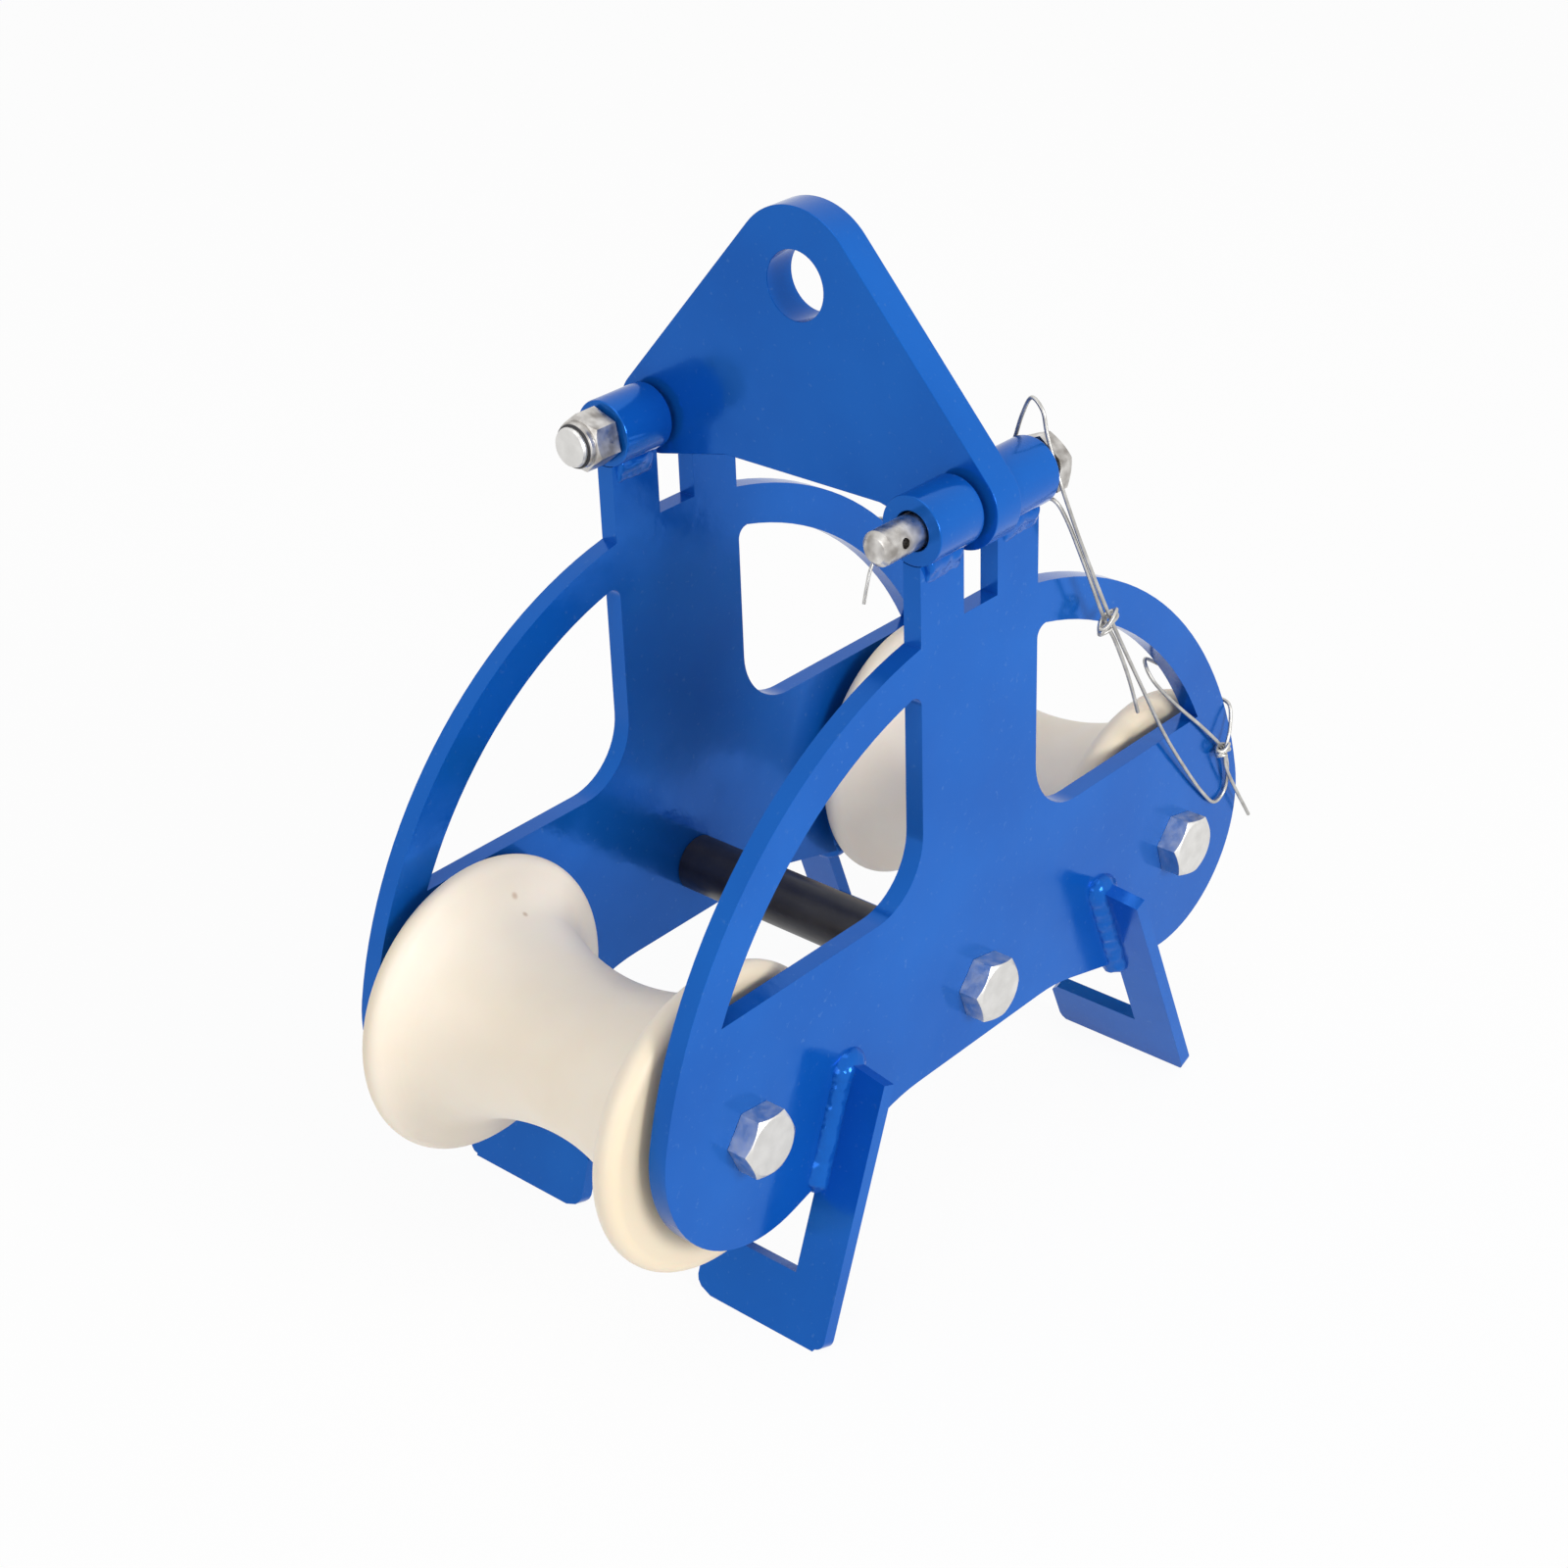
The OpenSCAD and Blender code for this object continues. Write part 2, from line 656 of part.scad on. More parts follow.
// Thin ring that closes each side of a bearing, held by its outer ring
module seals(x) {
    color(black) at_bearings(x) for (s = [-1, 1])
        translate([0, 0, s * (bearing_w / 2 - seal_in - seal_t / 2) - seal_t / 2])
            tube(outer_ring_r, inner_ring_r + seal_gap, seal_t);
}

// Upper half of the roller's profile, with its flank, rim and end face
module roller_half_2d() {
    polygon([
        [roller_bore_r, 0], [groove_end[0], 0], groove_end, flank_low, flank_top, rim_c,
        [rim_c[0], half_len], [roller_bore_r, half_len]]);
    translate(rim_c) circle(r = rim_round, $fn = 64);
}

// Roller profile with the long cable groove and the fillets at its ends
module roller_2d() {
    difference() {
        union() {
            roller_half_2d();
            mirror([0, 1]) roller_half_2d();
        }
        intersection() {
            translate(groove_c) circle(r = groove_r, $fn = 360);
            translate([0, -groove_end[1]]) square([groove_c[0], 2 * groove_end[1]]);
        }
        translate(fillet_c) circle(r = flank_r);
        translate([fillet_c[0], -fillet_c[1]]) circle(r = flank_r);
    }
}

// Nylon roller with a bearing seat in each end
module roller(x) {
    seat = bearing_recess + bearing_w;
    color(nylon) translate([x, 0, axle_h]) along_y() difference() {
        rotate_extrude() roller_2d();
        translate([0, 0, half_len - seat]) cylinder(h = seat + 1, r = bearing_d / 2 + seat_clear);
        translate([0, 0, -half_len - 1]) cylinder(h = seat + 1, r = bearing_d / 2 + seat_clear);
    }
}

// Pin that locks the near ear of the head plate, with a hole for a clip near its tip
module release_pin() {
    len = pin_head_x - pin_tip_x;
    color(zinc) translate([pin_tip_x, -sleeve_y, sleeve_z]) along_x() difference() {
        union() {
            cylinder(h = pin_chamfer, r1 = pin_d / 2 - pin_chamfer, r2 = pin_d / 2);
            translate([0, 0, pin_chamfer]) cylinder(h = len - pin_chamfer, r = pin_d / 2);
            translate([0, 0, len]) rotate([0, 0, pin_head_turn]) hexagon(pin_head_h, pin_af);
        }
        translate([0, 0, clip_in]) rotate([0, 0, clip_turn]) rotate([90, 0, 0])
            translate([0, 0, -pin_d]) cylinder(h = 2 * pin_d, r = clip_d / 2, $fn = 48);
    }
}

// Places a shape at a point with its Z axis along a direction
module aim(p, dir) {
    translate(p) rotate([0, acos(unit(dir)[2]), atan2(dir[1], dir[0])]) children();
}

module lanyard_crimps() {
    color(wire_grey) for (c = crimps)
        aim(c[0], c[1]) translate([0, 0, -crimp_len / 2])
            cylinder(h = crimp_len, r = crimp_d / 2, $fn = 32);
}

side_plate(-1);  // near_side_plate
side_plate(1);  // far_side_plate
foot(-1, -1);  // near_left_foot
foot(1, -1);  // near_right_foot
foot(-1, 1);  // far_left_foot
foot(1, 1);  // far_right_foot
sleeve(-1, -1);  // near_left_sleeve
sleeve(1, -1);  // near_right_sleeve
sleeve(-1, 1);  // far_left_sleeve
sleeve(1, 1);  // far_right_sleeve
head_plate();
translate([sleeve_end, sleeve_y, sleeve_z])  // hinge_bolt
        rotate([0, -90, 0]) bolt(hinge_bolt_len, hinge_head_turn);
translate([-sleeve_end - hinge_nut_gap, sleeve_y, sleeve_z])  // hinge_nut
        rotate([0, -90, 0]) lock_nut(hinge_head_turn, thin_hex_h, thin_collar_h);
axle_bolt(-axle_x, axle_h, left_head_turn);  // left_axle_bolt
axle_bolt(axle_x, axle_h, right_head_turn);  // right_axle_bolt
axle_bolt(0, tie_z, tie_head_turn);  // tie_bolt
axle_nut(-axle_x, axle_h, tie_head_turn);  // left_axle_nut
axle_nut(axle_x, axle_h, left_head_turn);  // right_axle_nut
axle_nut(0, tie_z, right_head_turn);  // tie_nut
axle_washer(-axle_x, axle_h);  // left_axle_washer
axle_washer(axle_x, axle_h);  // right_axle_washer
axle_washer(0, tie_z);  // tie_washer
axle_tube(-axle_x, axle_h);  // left_axle_tube
axle_tube(axle_x, axle_h);  // right_axle_tube
distance_rings(-axle_x);  // left_distance_rings
distance_rings(axle_x);  // right_distance_rings
axle_tube(0, tie_z);  // tie_tube
tie_sleeve();
inner_rings(-axle_x);  // left_inner_rings
inner_rings(axle_x);  // right_inner_rings
sleeve_welds();
foot_welds();
roller(-axle_x);  // left_roller
outer_rings(-axle_x);  // left_outer_rings
balls(-axle_x);  // left_balls
cages(-axle_x);  // left_cages
seals(-axle_x);  // left_seals
roller(axle_x);  // right_roller
outer_rings(axle_x);  // right_outer_rings
balls(axle_x);  // right_balls
cages(axle_x);  // right_cages
seals(axle_x);  // right_seals
release_pin();
color(wire_grey) wire(lanyard_points);  // lanyard_wire
lanyard_crimps();
color(wire_grey) wire(tie_points);  // tie_wire
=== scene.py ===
"""Looks of the corner cable pulley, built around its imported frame.

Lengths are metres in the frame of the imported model: +X along the cable, +Y towards the hinge
side and +Z up from the ground. Each sub-assembly is a class that makes and dresses its pieces.
"""

import itertools
import json
import logging
import math
from dataclasses import dataclass, field
from enum import Enum
from typing import Sequence

import bpy
from mathutils import Matrix, Vector

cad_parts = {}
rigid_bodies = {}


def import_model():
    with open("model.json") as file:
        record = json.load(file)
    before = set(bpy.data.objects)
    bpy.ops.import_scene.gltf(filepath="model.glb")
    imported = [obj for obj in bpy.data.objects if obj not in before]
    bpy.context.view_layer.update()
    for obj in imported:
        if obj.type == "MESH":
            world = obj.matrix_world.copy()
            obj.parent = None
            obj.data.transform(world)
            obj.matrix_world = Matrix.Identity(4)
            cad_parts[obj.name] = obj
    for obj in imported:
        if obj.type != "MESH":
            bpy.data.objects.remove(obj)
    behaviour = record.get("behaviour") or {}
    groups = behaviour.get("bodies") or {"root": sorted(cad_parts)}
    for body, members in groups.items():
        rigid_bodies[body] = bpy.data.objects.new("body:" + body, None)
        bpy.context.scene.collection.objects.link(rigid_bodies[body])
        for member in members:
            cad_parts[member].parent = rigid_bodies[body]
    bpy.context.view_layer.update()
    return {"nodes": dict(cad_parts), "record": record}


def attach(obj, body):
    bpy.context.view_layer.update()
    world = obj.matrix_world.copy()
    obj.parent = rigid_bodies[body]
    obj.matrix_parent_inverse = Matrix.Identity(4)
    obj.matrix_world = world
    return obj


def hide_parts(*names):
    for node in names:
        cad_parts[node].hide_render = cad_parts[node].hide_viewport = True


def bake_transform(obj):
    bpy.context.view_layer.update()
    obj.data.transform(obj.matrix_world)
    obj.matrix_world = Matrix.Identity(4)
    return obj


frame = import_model()

log = logging.getLogger("pulley")

MM = 0.001
# Points nearer than this are one point.
SAME_POINT = 0.01 * MM
# Faces that turn by less than this many degrees lie in one plane.
FLAT = 0.3
# Edges sharper than this many degrees are eased, on plates and on fasteners.
PLATE_ANGLE = 34.0
FASTENER_ANGLE = 20.0
# x and z of the top of a leg's middle plane, and the lean of the near and far legs in degrees.
FOOT_TOP = (80.0 * MM, 104.0 * MM)
SPLAYS = (21.5, 18.5)
# y and z of the axis through the far sleeves, which the near sleeves mirror.
HINGE = (76.0 * MM, 302.5 * MM)

Colour = tuple[float, float, float]
Tint = Colour | bpy.types.NodeSocket


class Body(Enum):
    """The rigid bodies that a piece can ride on."""

    FRAME = "frame"
    LEFT_ROLLER = "left_roller"
    RIGHT_ROLLER = "right_roller"
    RELEASE_PIN = "release_pin"


class Slot(Enum):
    """The record's material slots."""

    PAINT = "blue_paint"
    NYLON = "nylon"
    ZINC = "zinc_steel"
    STEEL = "plain_steel"
    RUBBER = "black_rubber"
    WIRE = "wire"


def select_nothing() -> None:
    """Deselects every object in the scene."""
    for other in bpy.context.scene.objects:
        other.select_set(False)


class Graph:
    """A small helper that adds and joins the nodes of one material."""

    # Sockets of a mix node that works on colours.
    MIX_FACTOR, MIX_FIRST, MIX_SECOND, MIX_RESULT = 0, 6, 7, 2

    def __init__(self, name: str) -> None:
        """Starts an empty material with its shader and output.

        Args:
            name: Name of the material.
        """
        self.material = bpy.data.materials.new(name)
        self.material.use_nodes = True
        self.tree = self.material.node_tree
        self.tree.nodes.clear()
        self.shader = self.add("ShaderNodeBsdfPrincipled")
        output = self.add("ShaderNodeOutputMaterial")
        self.join(self.shader.outputs["BSDF"], output.inputs["Surface"])
        self.place = self.add("ShaderNodeTexCoord").outputs["Object"]

    def add(self, kind: str) -> bpy.types.Node:
        """Adds a node of one kind.

        Args:
            kind: Blender's name of the node type.

        Returns:
            The new node.
        """
        return self.tree.nodes.new(kind)

    def join(self, source: bpy.types.NodeSocket, target: bpy.types.NodeSocket) -> None:
        """Joins an output to an input."""
        self.tree.links.new(source, target)

    def feed(self, name: str, source: bpy.types.NodeSocket) -> None:
        """Joins an output to one of the shader's own inputs."""
        self.join(source, self.shader.inputs[name])

    def set(self, **values: object) -> None:
        """Sets the shader's own sockets.

        Args:
            values: Socket names with underscores for spaces, and their values.
        """
        for name, value in values.items():
            self.shader.inputs[name.replace("_", " ")].default_value = value

    def noise(self, scale: float, detail: float = 3.0,
              stretch: Sequence[float] = (1, 1, 1)) -> bpy.types.NodeSocket:
        """Adds a noise pattern on the piece's own coordinates.

        Args:
            scale: Waves per metre.
            detail: Octaves of the pattern.
            stretch: Factor on each axis.

        Returns:
            The pattern's value socket.
        """
        mapping = self.add("ShaderNodeMapping")
        mapping.inputs["Scale"].default_value = tuple(stretch)
        self.join(self.place, mapping.inputs["Vector"])
        node = self.add("ShaderNodeTexNoise")
        node.inputs["Scale"].default_value = scale
        node.inputs["Detail"].default_value = detail
        self.join(mapping.outputs["Vector"], node.inputs["Vector"])
        return node.outputs["Fac"]

    def spread(self, value: bpy.types.NodeSocket, low: float, high: float, start: float = 0.3,
               end: float = 0.7) -> bpy.types.NodeSocket:
        """Maps a pattern to a range.

        Args:
            value: The pattern.
            low: Result at the start.
            high: Result at the end.
            start: Pattern value that gives the low result.
            end: Pattern value that gives the high result.

        Returns:
            The mapped value socket.
        """
        node = self.add("ShaderNodeMapRange")
        ends = {"From Min": start, "From Max": end, "To Min": low, "To Max": high}
        for name, number in ends.items():
            node.inputs[name].default_value = number
        self.join(value, node.inputs["Value"])
        return node.outputs["Result"]

    def mix(self, factor: bpy.types.NodeSocket, first: Tint, second: Tint) -> bpy.types.NodeSocket:
        """Mixes two colours.

        Args:
            factor: Share of the second colour.
            first: A colour, or the socket that gives one.
            second: A colour, or the socket that gives one.

        Returns:
            The mixed colour socket.
        """
        node = self.add("ShaderNodeMix")
        node.data_type = "RGBA"
        self.join(factor, node.inputs[self.MIX_FACTOR])
        for value, number in ((first, self.MIX_FIRST), (second, self.MIX_SECOND)):
            if isinstance(value, bpy.types.NodeSocket):
                self.join(value, node.inputs[number])
            else:
                node.inputs[number].default_value = (*value, 1.0)
        return node.outputs[self.MIX_RESULT]

    def bump(self, layers: Sequence[tuple[bpy.types.NodeSocket, float]]) -> None:
        """Adds relief from a few patterns to the shader.

        Args:
            layers: Each pattern and its depth in metres.
        """
        previous = None
        for height, depth in layers:
            node = self.add("ShaderNodeBump")
            node.inputs["Strength"].default_value = 1.0
            node.inputs["Distance"].default_value = depth
            self.join(height, node.inputs["Height"])
            if previous is not None:
                self.join(previous, node.inputs["Normal"])
            previous = node.outputs["Normal"]
        self.feed("Normal", previous)


@dataclass(frozen=True)
class Enamel:
    """Glossy blue enamel sprayed on steel. Patterns are in waves per metre."""

    deep: Colour = (0.004, 0.102, 0.455)
    light: Colour = (0.006, 0.126, 0.525)
    dust: Colour = (0.08, 0.22, 0.55)
    dust_share: float = 0.35
    dust_range: tuple[float, float] = (0.66, 0.78)
    roughness: tuple[float, float] = (0.08, 0.23)
    metallic: float = 0.38
    index: float = 1.27
    clouds: float = 14
    gloss: float = 60
    peel: float = 45
    peel_depth: float = 0.20 * MM
    specks: float = 420
    speck_depth: float = 0.03 * MM

    def build(self) -> bpy.types.Material:
        """Makes the material: cloudy colour, orange peel and a little dust.

        Returns:
            The material.
        """
        graph = Graph("blue_enamel")
        colour = graph.mix(graph.spread(graph.noise(self.clouds, 4), 0, 1), self.deep, self.light)
        dusty = graph.spread(graph.noise(self.specks, 2), 0, self.dust_share, *self.dust_range)
        graph.feed("Base Color", graph.mix(dusty, colour, self.dust))
        graph.feed("Roughness", graph.spread(graph.noise(self.gloss), *self.roughness))
        graph.set(IOR=self.index, Metallic=self.metallic)
        graph.bump([(graph.noise(self.peel, 2), self.peel_depth),
                    (graph.noise(self.specks, 2), self.speck_depth)])
        return graph.material


@dataclass(frozen=True)
class Nylon:
    """Turned cream nylon with two small stains on one roller, and painted shade that makes it
    darker and yellower at its ends, beside the side plates.

    Patterns are in waves per metre. A stain is its centre and its radius.
    """

    pale: Colour = (0.97, 0.880, 0.755)
    warm: Colour = (0.94, 0.830, 0.685)
    # Painted shade: the nylon turns to this darker, yellower colour towards its ends beside the
    # side plates, by this share, over this range of distance from the middle.
    rim_shade: Colour = (0.80, 0.66, 0.44)
    rim_shade_share: float = 0.75
    rim_shade_range: tuple[float, float] = (58.0 * MM, 67.0 * MM)
    stain: Colour = (0.42, 0.22, 0.09)
    stain_share: float = 0.5
    stain_core: float = 0.3
    stains: tuple[tuple[float, float, float, float], ...] = (
        (-0.1231, 0.0510, 0.1469, 0.0019), (-0.1240, 0.0449, 0.1413, 0.0015))
    roughness: tuple[float, float] = (0.38, 0.52)
    clouds: float = 22
    gloss: float = 90
    turning: float = 900
    turning_stretch: tuple[float, float, float] = (0.02, 1, 0.02)
    turning_depth: float = 0.025 * MM
    dents: float = 70
    dent_depth: float = 0.08 * MM

    def build(self) -> bpy.types.Material:
        """Makes the material: mottled cream, painted shade towards the ends, faint turning marks
        and the stains.

        Returns:
            The material.
        """
        graph = Graph("cream_nylon")
        colour = graph.mix(graph.spread(graph.noise(self.clouds), 0, 1), self.pale, self.warm)
        # Painted shade: mixes the darker, yellower colour in towards both ends of the roller.
        parts = graph.add("ShaderNodeSeparateXYZ")
        graph.join(graph.place, parts.inputs[0])
        reach = graph.add("ShaderNodeMath")
        reach.operation = "ABSOLUTE"
        graph.join(parts.outputs["Y"], reach.inputs[0])
        rim_shade_mask = graph.spread(reach.outputs[0], 0, self.rim_shade_share, *self.rim_shade_range)
        colour = graph.mix(rim_shade_mask, colour, self.rim_shade)
        for x, y, z, radius in self.stains:
            distance = graph.add("ShaderNodeVectorMath")
            distance.operation = "DISTANCE"
            distance.inputs[1].default_value = (x, y, z)
            graph.join(graph.place, distance.inputs[0])
            near = graph.spread(distance.outputs["Value"], self.stain_share, 0,
                                radius * self.stain_core, radius)
            colour = graph.mix(near, colour, self.stain)
        graph.feed("Base Color", colour)
        graph.feed("Roughness", graph.spread(graph.noise(self.gloss), *self.roughness))
        graph.set(IOR=1.5, Subsurface_Weight=0.12, Subsurface_Scale=0.004)
        graph.bump([(graph.noise(self.turning, 1, self.turning_stretch), self.turning_depth),
                    (graph.noise(self.dents, 2), self.dent_depth)])
        return graph.material


@dataclass(frozen=True)
class Metal:
    """Bare or plated steel. Patterns are in waves per metre."""

    name: str
    bright: Colour
    dull: Colour
    roughness: float
    metallic: float = 1.0
    roughness_range: tuple[float, float] = (-0.08, 0.12)
    clouds: float = 160
    gloss: float = 260
    dents: float = 200
    dent_depth: float = 0.05 * MM
    scratches: float = 600
    scratch_stretch: tuple[float, float, float] = (1, 0.15, 1)
    scratch_depth: float = 0.006 * MM

    def build(self) -> bpy.types.Material:
        """Makes the material: cloudy plating, fine scratches and small dents.

        Returns:
            The material.
        """
        graph = Graph(self.name)
        clouds = graph.spread(graph.noise(self.clouds, 2.5), 0, 1)
        graph.feed("Base Color", graph.mix(clouds, self.dull, self.bright))
        low, high = (self.roughness + step for step in self.roughness_range)
        graph.feed("Roughness", graph.spread(graph.noise(self.gloss, 2), low, high))
        graph.set(Metallic=self.metallic)
        graph.bump([(graph.noise(self.dents, 2), self.dent_depth),
                    (graph.noise(self.scratches, 1, self.scratch_stretch), self.scratch_depth)])
        return graph.material


@dataclass(frozen=True)
class BlackHose:
    """Smooth black rubber hose. Patterns are in waves per metre."""

    deep: Colour = (0.012, 0.011, 0.015)
    rubbed: Colour = (0.022, 0.021, 0.026)
    roughness: tuple[float, float] = (0.28, 0.48)
    clouds: float = 120
    gloss: float = 200
    gloss_stretch: tuple[float, float, float] = (1, 0.1, 1)
    marks: float = 500
    mark_stretch: tuple[float, float, float] = (1, 0.05, 1)
    mark_depth: float = 0.05 * MM

    def build(self) -> bpy.types.Material:
        """Makes the material: nearly black, half glossy, with faint lengthwise marks.

        Returns:
            The material.
        """
        graph = Graph("black_hose")
        clouds = graph.spread(graph.noise(self.clouds), 0, 1)
        graph.feed("Base Color", graph.mix(clouds, self.deep, self.rubbed))
        gloss = graph.noise(self.gloss, 3, self.gloss_stretch)
        graph.feed("Roughness", graph.spread(gloss, *self.roughness))
        graph.bump([(graph.noise(self.marks, 2, self.mark_stretch), self.mark_depth)])
        return graph.material


class Finishes:
    """The materials of all the pieces, made once."""

    def __init__(self) -> None:
        """Builds the material of each slot, and the worn zinc of the pin and the hinge nut."""
        kinds = {
            Slot.PAINT: Enamel(),
            Slot.NYLON: Nylon(),
            Slot.ZINC: Metal("zinc_plate", (0.77, 0.76, 0.74), (0.67, 0.66, 0.64), 0.40),
            Slot.STEEL: Metal("turned_steel", (0.52, 0.51, 0.50), (0.40, 0.39, 0.39), 0.34),
            Slot.RUBBER: BlackHose(),
            Slot.WIRE: Metal("drawn_wire", (0.60, 0.59, 0.56), (0.40, 0.39, 0.37), 0.36, 0.85),
        }
        self.by_slot = {slot: kind.build() for slot, kind in kinds.items()}
        self.worn = Metal("worn_zinc", (0.76, 0.74, 0.71), (0.30, 0.28, 0.26), 0.33).build()

    def of(self, slot: Slot) -> bpy.types.Material:
        """Gives the material of one slot."""
        return self.by_slot[slot]


class Shop:
    """The bench work that several sub-assemblies share."""

    def __init__(self, finishes: Finishes) -> None:
        """Keeps the materials at hand.

        Args:
            finishes: The materials of all the pieces.
        """
        self.finishes = finishes

    @staticmethod
    def pick(piece: bpy.types.Object) -> None:
        """Selects one piece alone and makes it active.

        Args:
            piece: The piece to work on.
        """
        select_nothing()
        piece.select_set(True)
        bpy.context.view_layer.objects.active = piece

    def apply(self, piece: bpy.types.Object, kind: str, **settings: object) -> None:
        """Adds a modifier and applies it.

        Args:
            piece: The piece to change.
            kind: Blender's name of the modifier type.
            settings: The modifier's values.
        """
        self.pick(piece)
        modifier = piece.modifiers.new(kind.lower(), kind)
        for name, value in settings.items():
            setattr(modifier, name, value)
        bpy.ops.object.modifier_apply(modifier=modifier.name)

    def copy_of(self, node: str, name: str) -> bpy.types.Object:
        """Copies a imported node's mesh into a new, welded piece.

        Args:
            node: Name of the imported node.
            name: Name of the new piece.

        Returns:
            The new piece, with flat faces joined.
        """
        mesh = frame["nodes"][node].data.copy()
        piece = bpy.data.objects.new(name, mesh)
        bpy.context.scene.collection.objects.link(piece)
        self.pick(piece)
        bpy.ops.mesh.customdata_custom_splitnormals_clear()
        bpy.ops.object.mode_set(mode="EDIT")
        bpy.ops.mesh.select_all(action="SELECT")
        bpy.ops.mesh.remove_doubles(threshold=SAME_POINT)
        bpy.ops.mesh.dissolve_limited(angle_limit=math.radians(FLAT))
        bpy.ops.object.mode_set(mode="OBJECT")
        return piece

    def ease(self, piece: bpy.types.Object, edge: float, angle: float) -> None:
        """Eases the sharp edges of a piece and keeps its wide faces evenly lit.

        Args:
            piece: The piece to change.
            edge: Width of the eased edge.
            angle: Smallest angle of an edge that is eased, in degrees.
        """
        self.apply(piece, "BEVEL", width=edge, segments=2, limit_method="ANGLE",
                   angle_limit=math.radians(angle), use_clamp_overlap=True)
        self.smooth(piece, angle)
        self.apply(piece, "WEIGHTED_NORMAL", mode="FACE_AREA", weight=50, keep_sharp=True)

    def eased(self, node: str, edge: float, angle: float = PLATE_ANGLE) -> bpy.types.Object:
        """Makes a copy of a node with its sharp edges eased.

        Args:
            node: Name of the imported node.
            edge: Width of the eased edge.
            angle: Smallest angle of an edge that is eased, in degrees.

        Returns:
            The new piece.
        """
        piece = self.copy_of(node, f"{node}_finished")
        self.ease(piece, edge, angle)
        return piece

    def smooth(self, piece: bpy.types.Object, angle: float) -> None:
        """Shades a piece smooth across edges under an angle in degrees."""
        self.pick(piece)
        bpy.ops.object.shade_smooth_by_angle(angle=math.radians(angle))

    def dress(self, piece: bpy.types.Object, slot: Slot, body: Body,
              *nodes: str) -> bpy.types.Object:
        """Gives a piece its finish, its body and the nodes it stands for.

        Args:
            piece: The finished piece.
            slot: The record's slot.
            body: The body it rides on.
            nodes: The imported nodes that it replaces.

        Returns:
            The piece.
        """
        piece.data.materials.clear()
        piece.data.materials.append(self.finishes.of(slot))
        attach(piece, body.value)
        if nodes:
            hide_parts(*nodes)
        log.info("made %s", piece.name)
        return piece

    def finish_nodes(self) -> None:
        """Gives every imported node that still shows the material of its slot."""
        slots = {part["node"]: part["material_slot"] for part in frame["record"]["subparts"]}
        for name, node in frame["nodes"].items():
            node.data.materials.clear()
            node.data.materials.append(self.finishes.of(Slot(slots[name])))


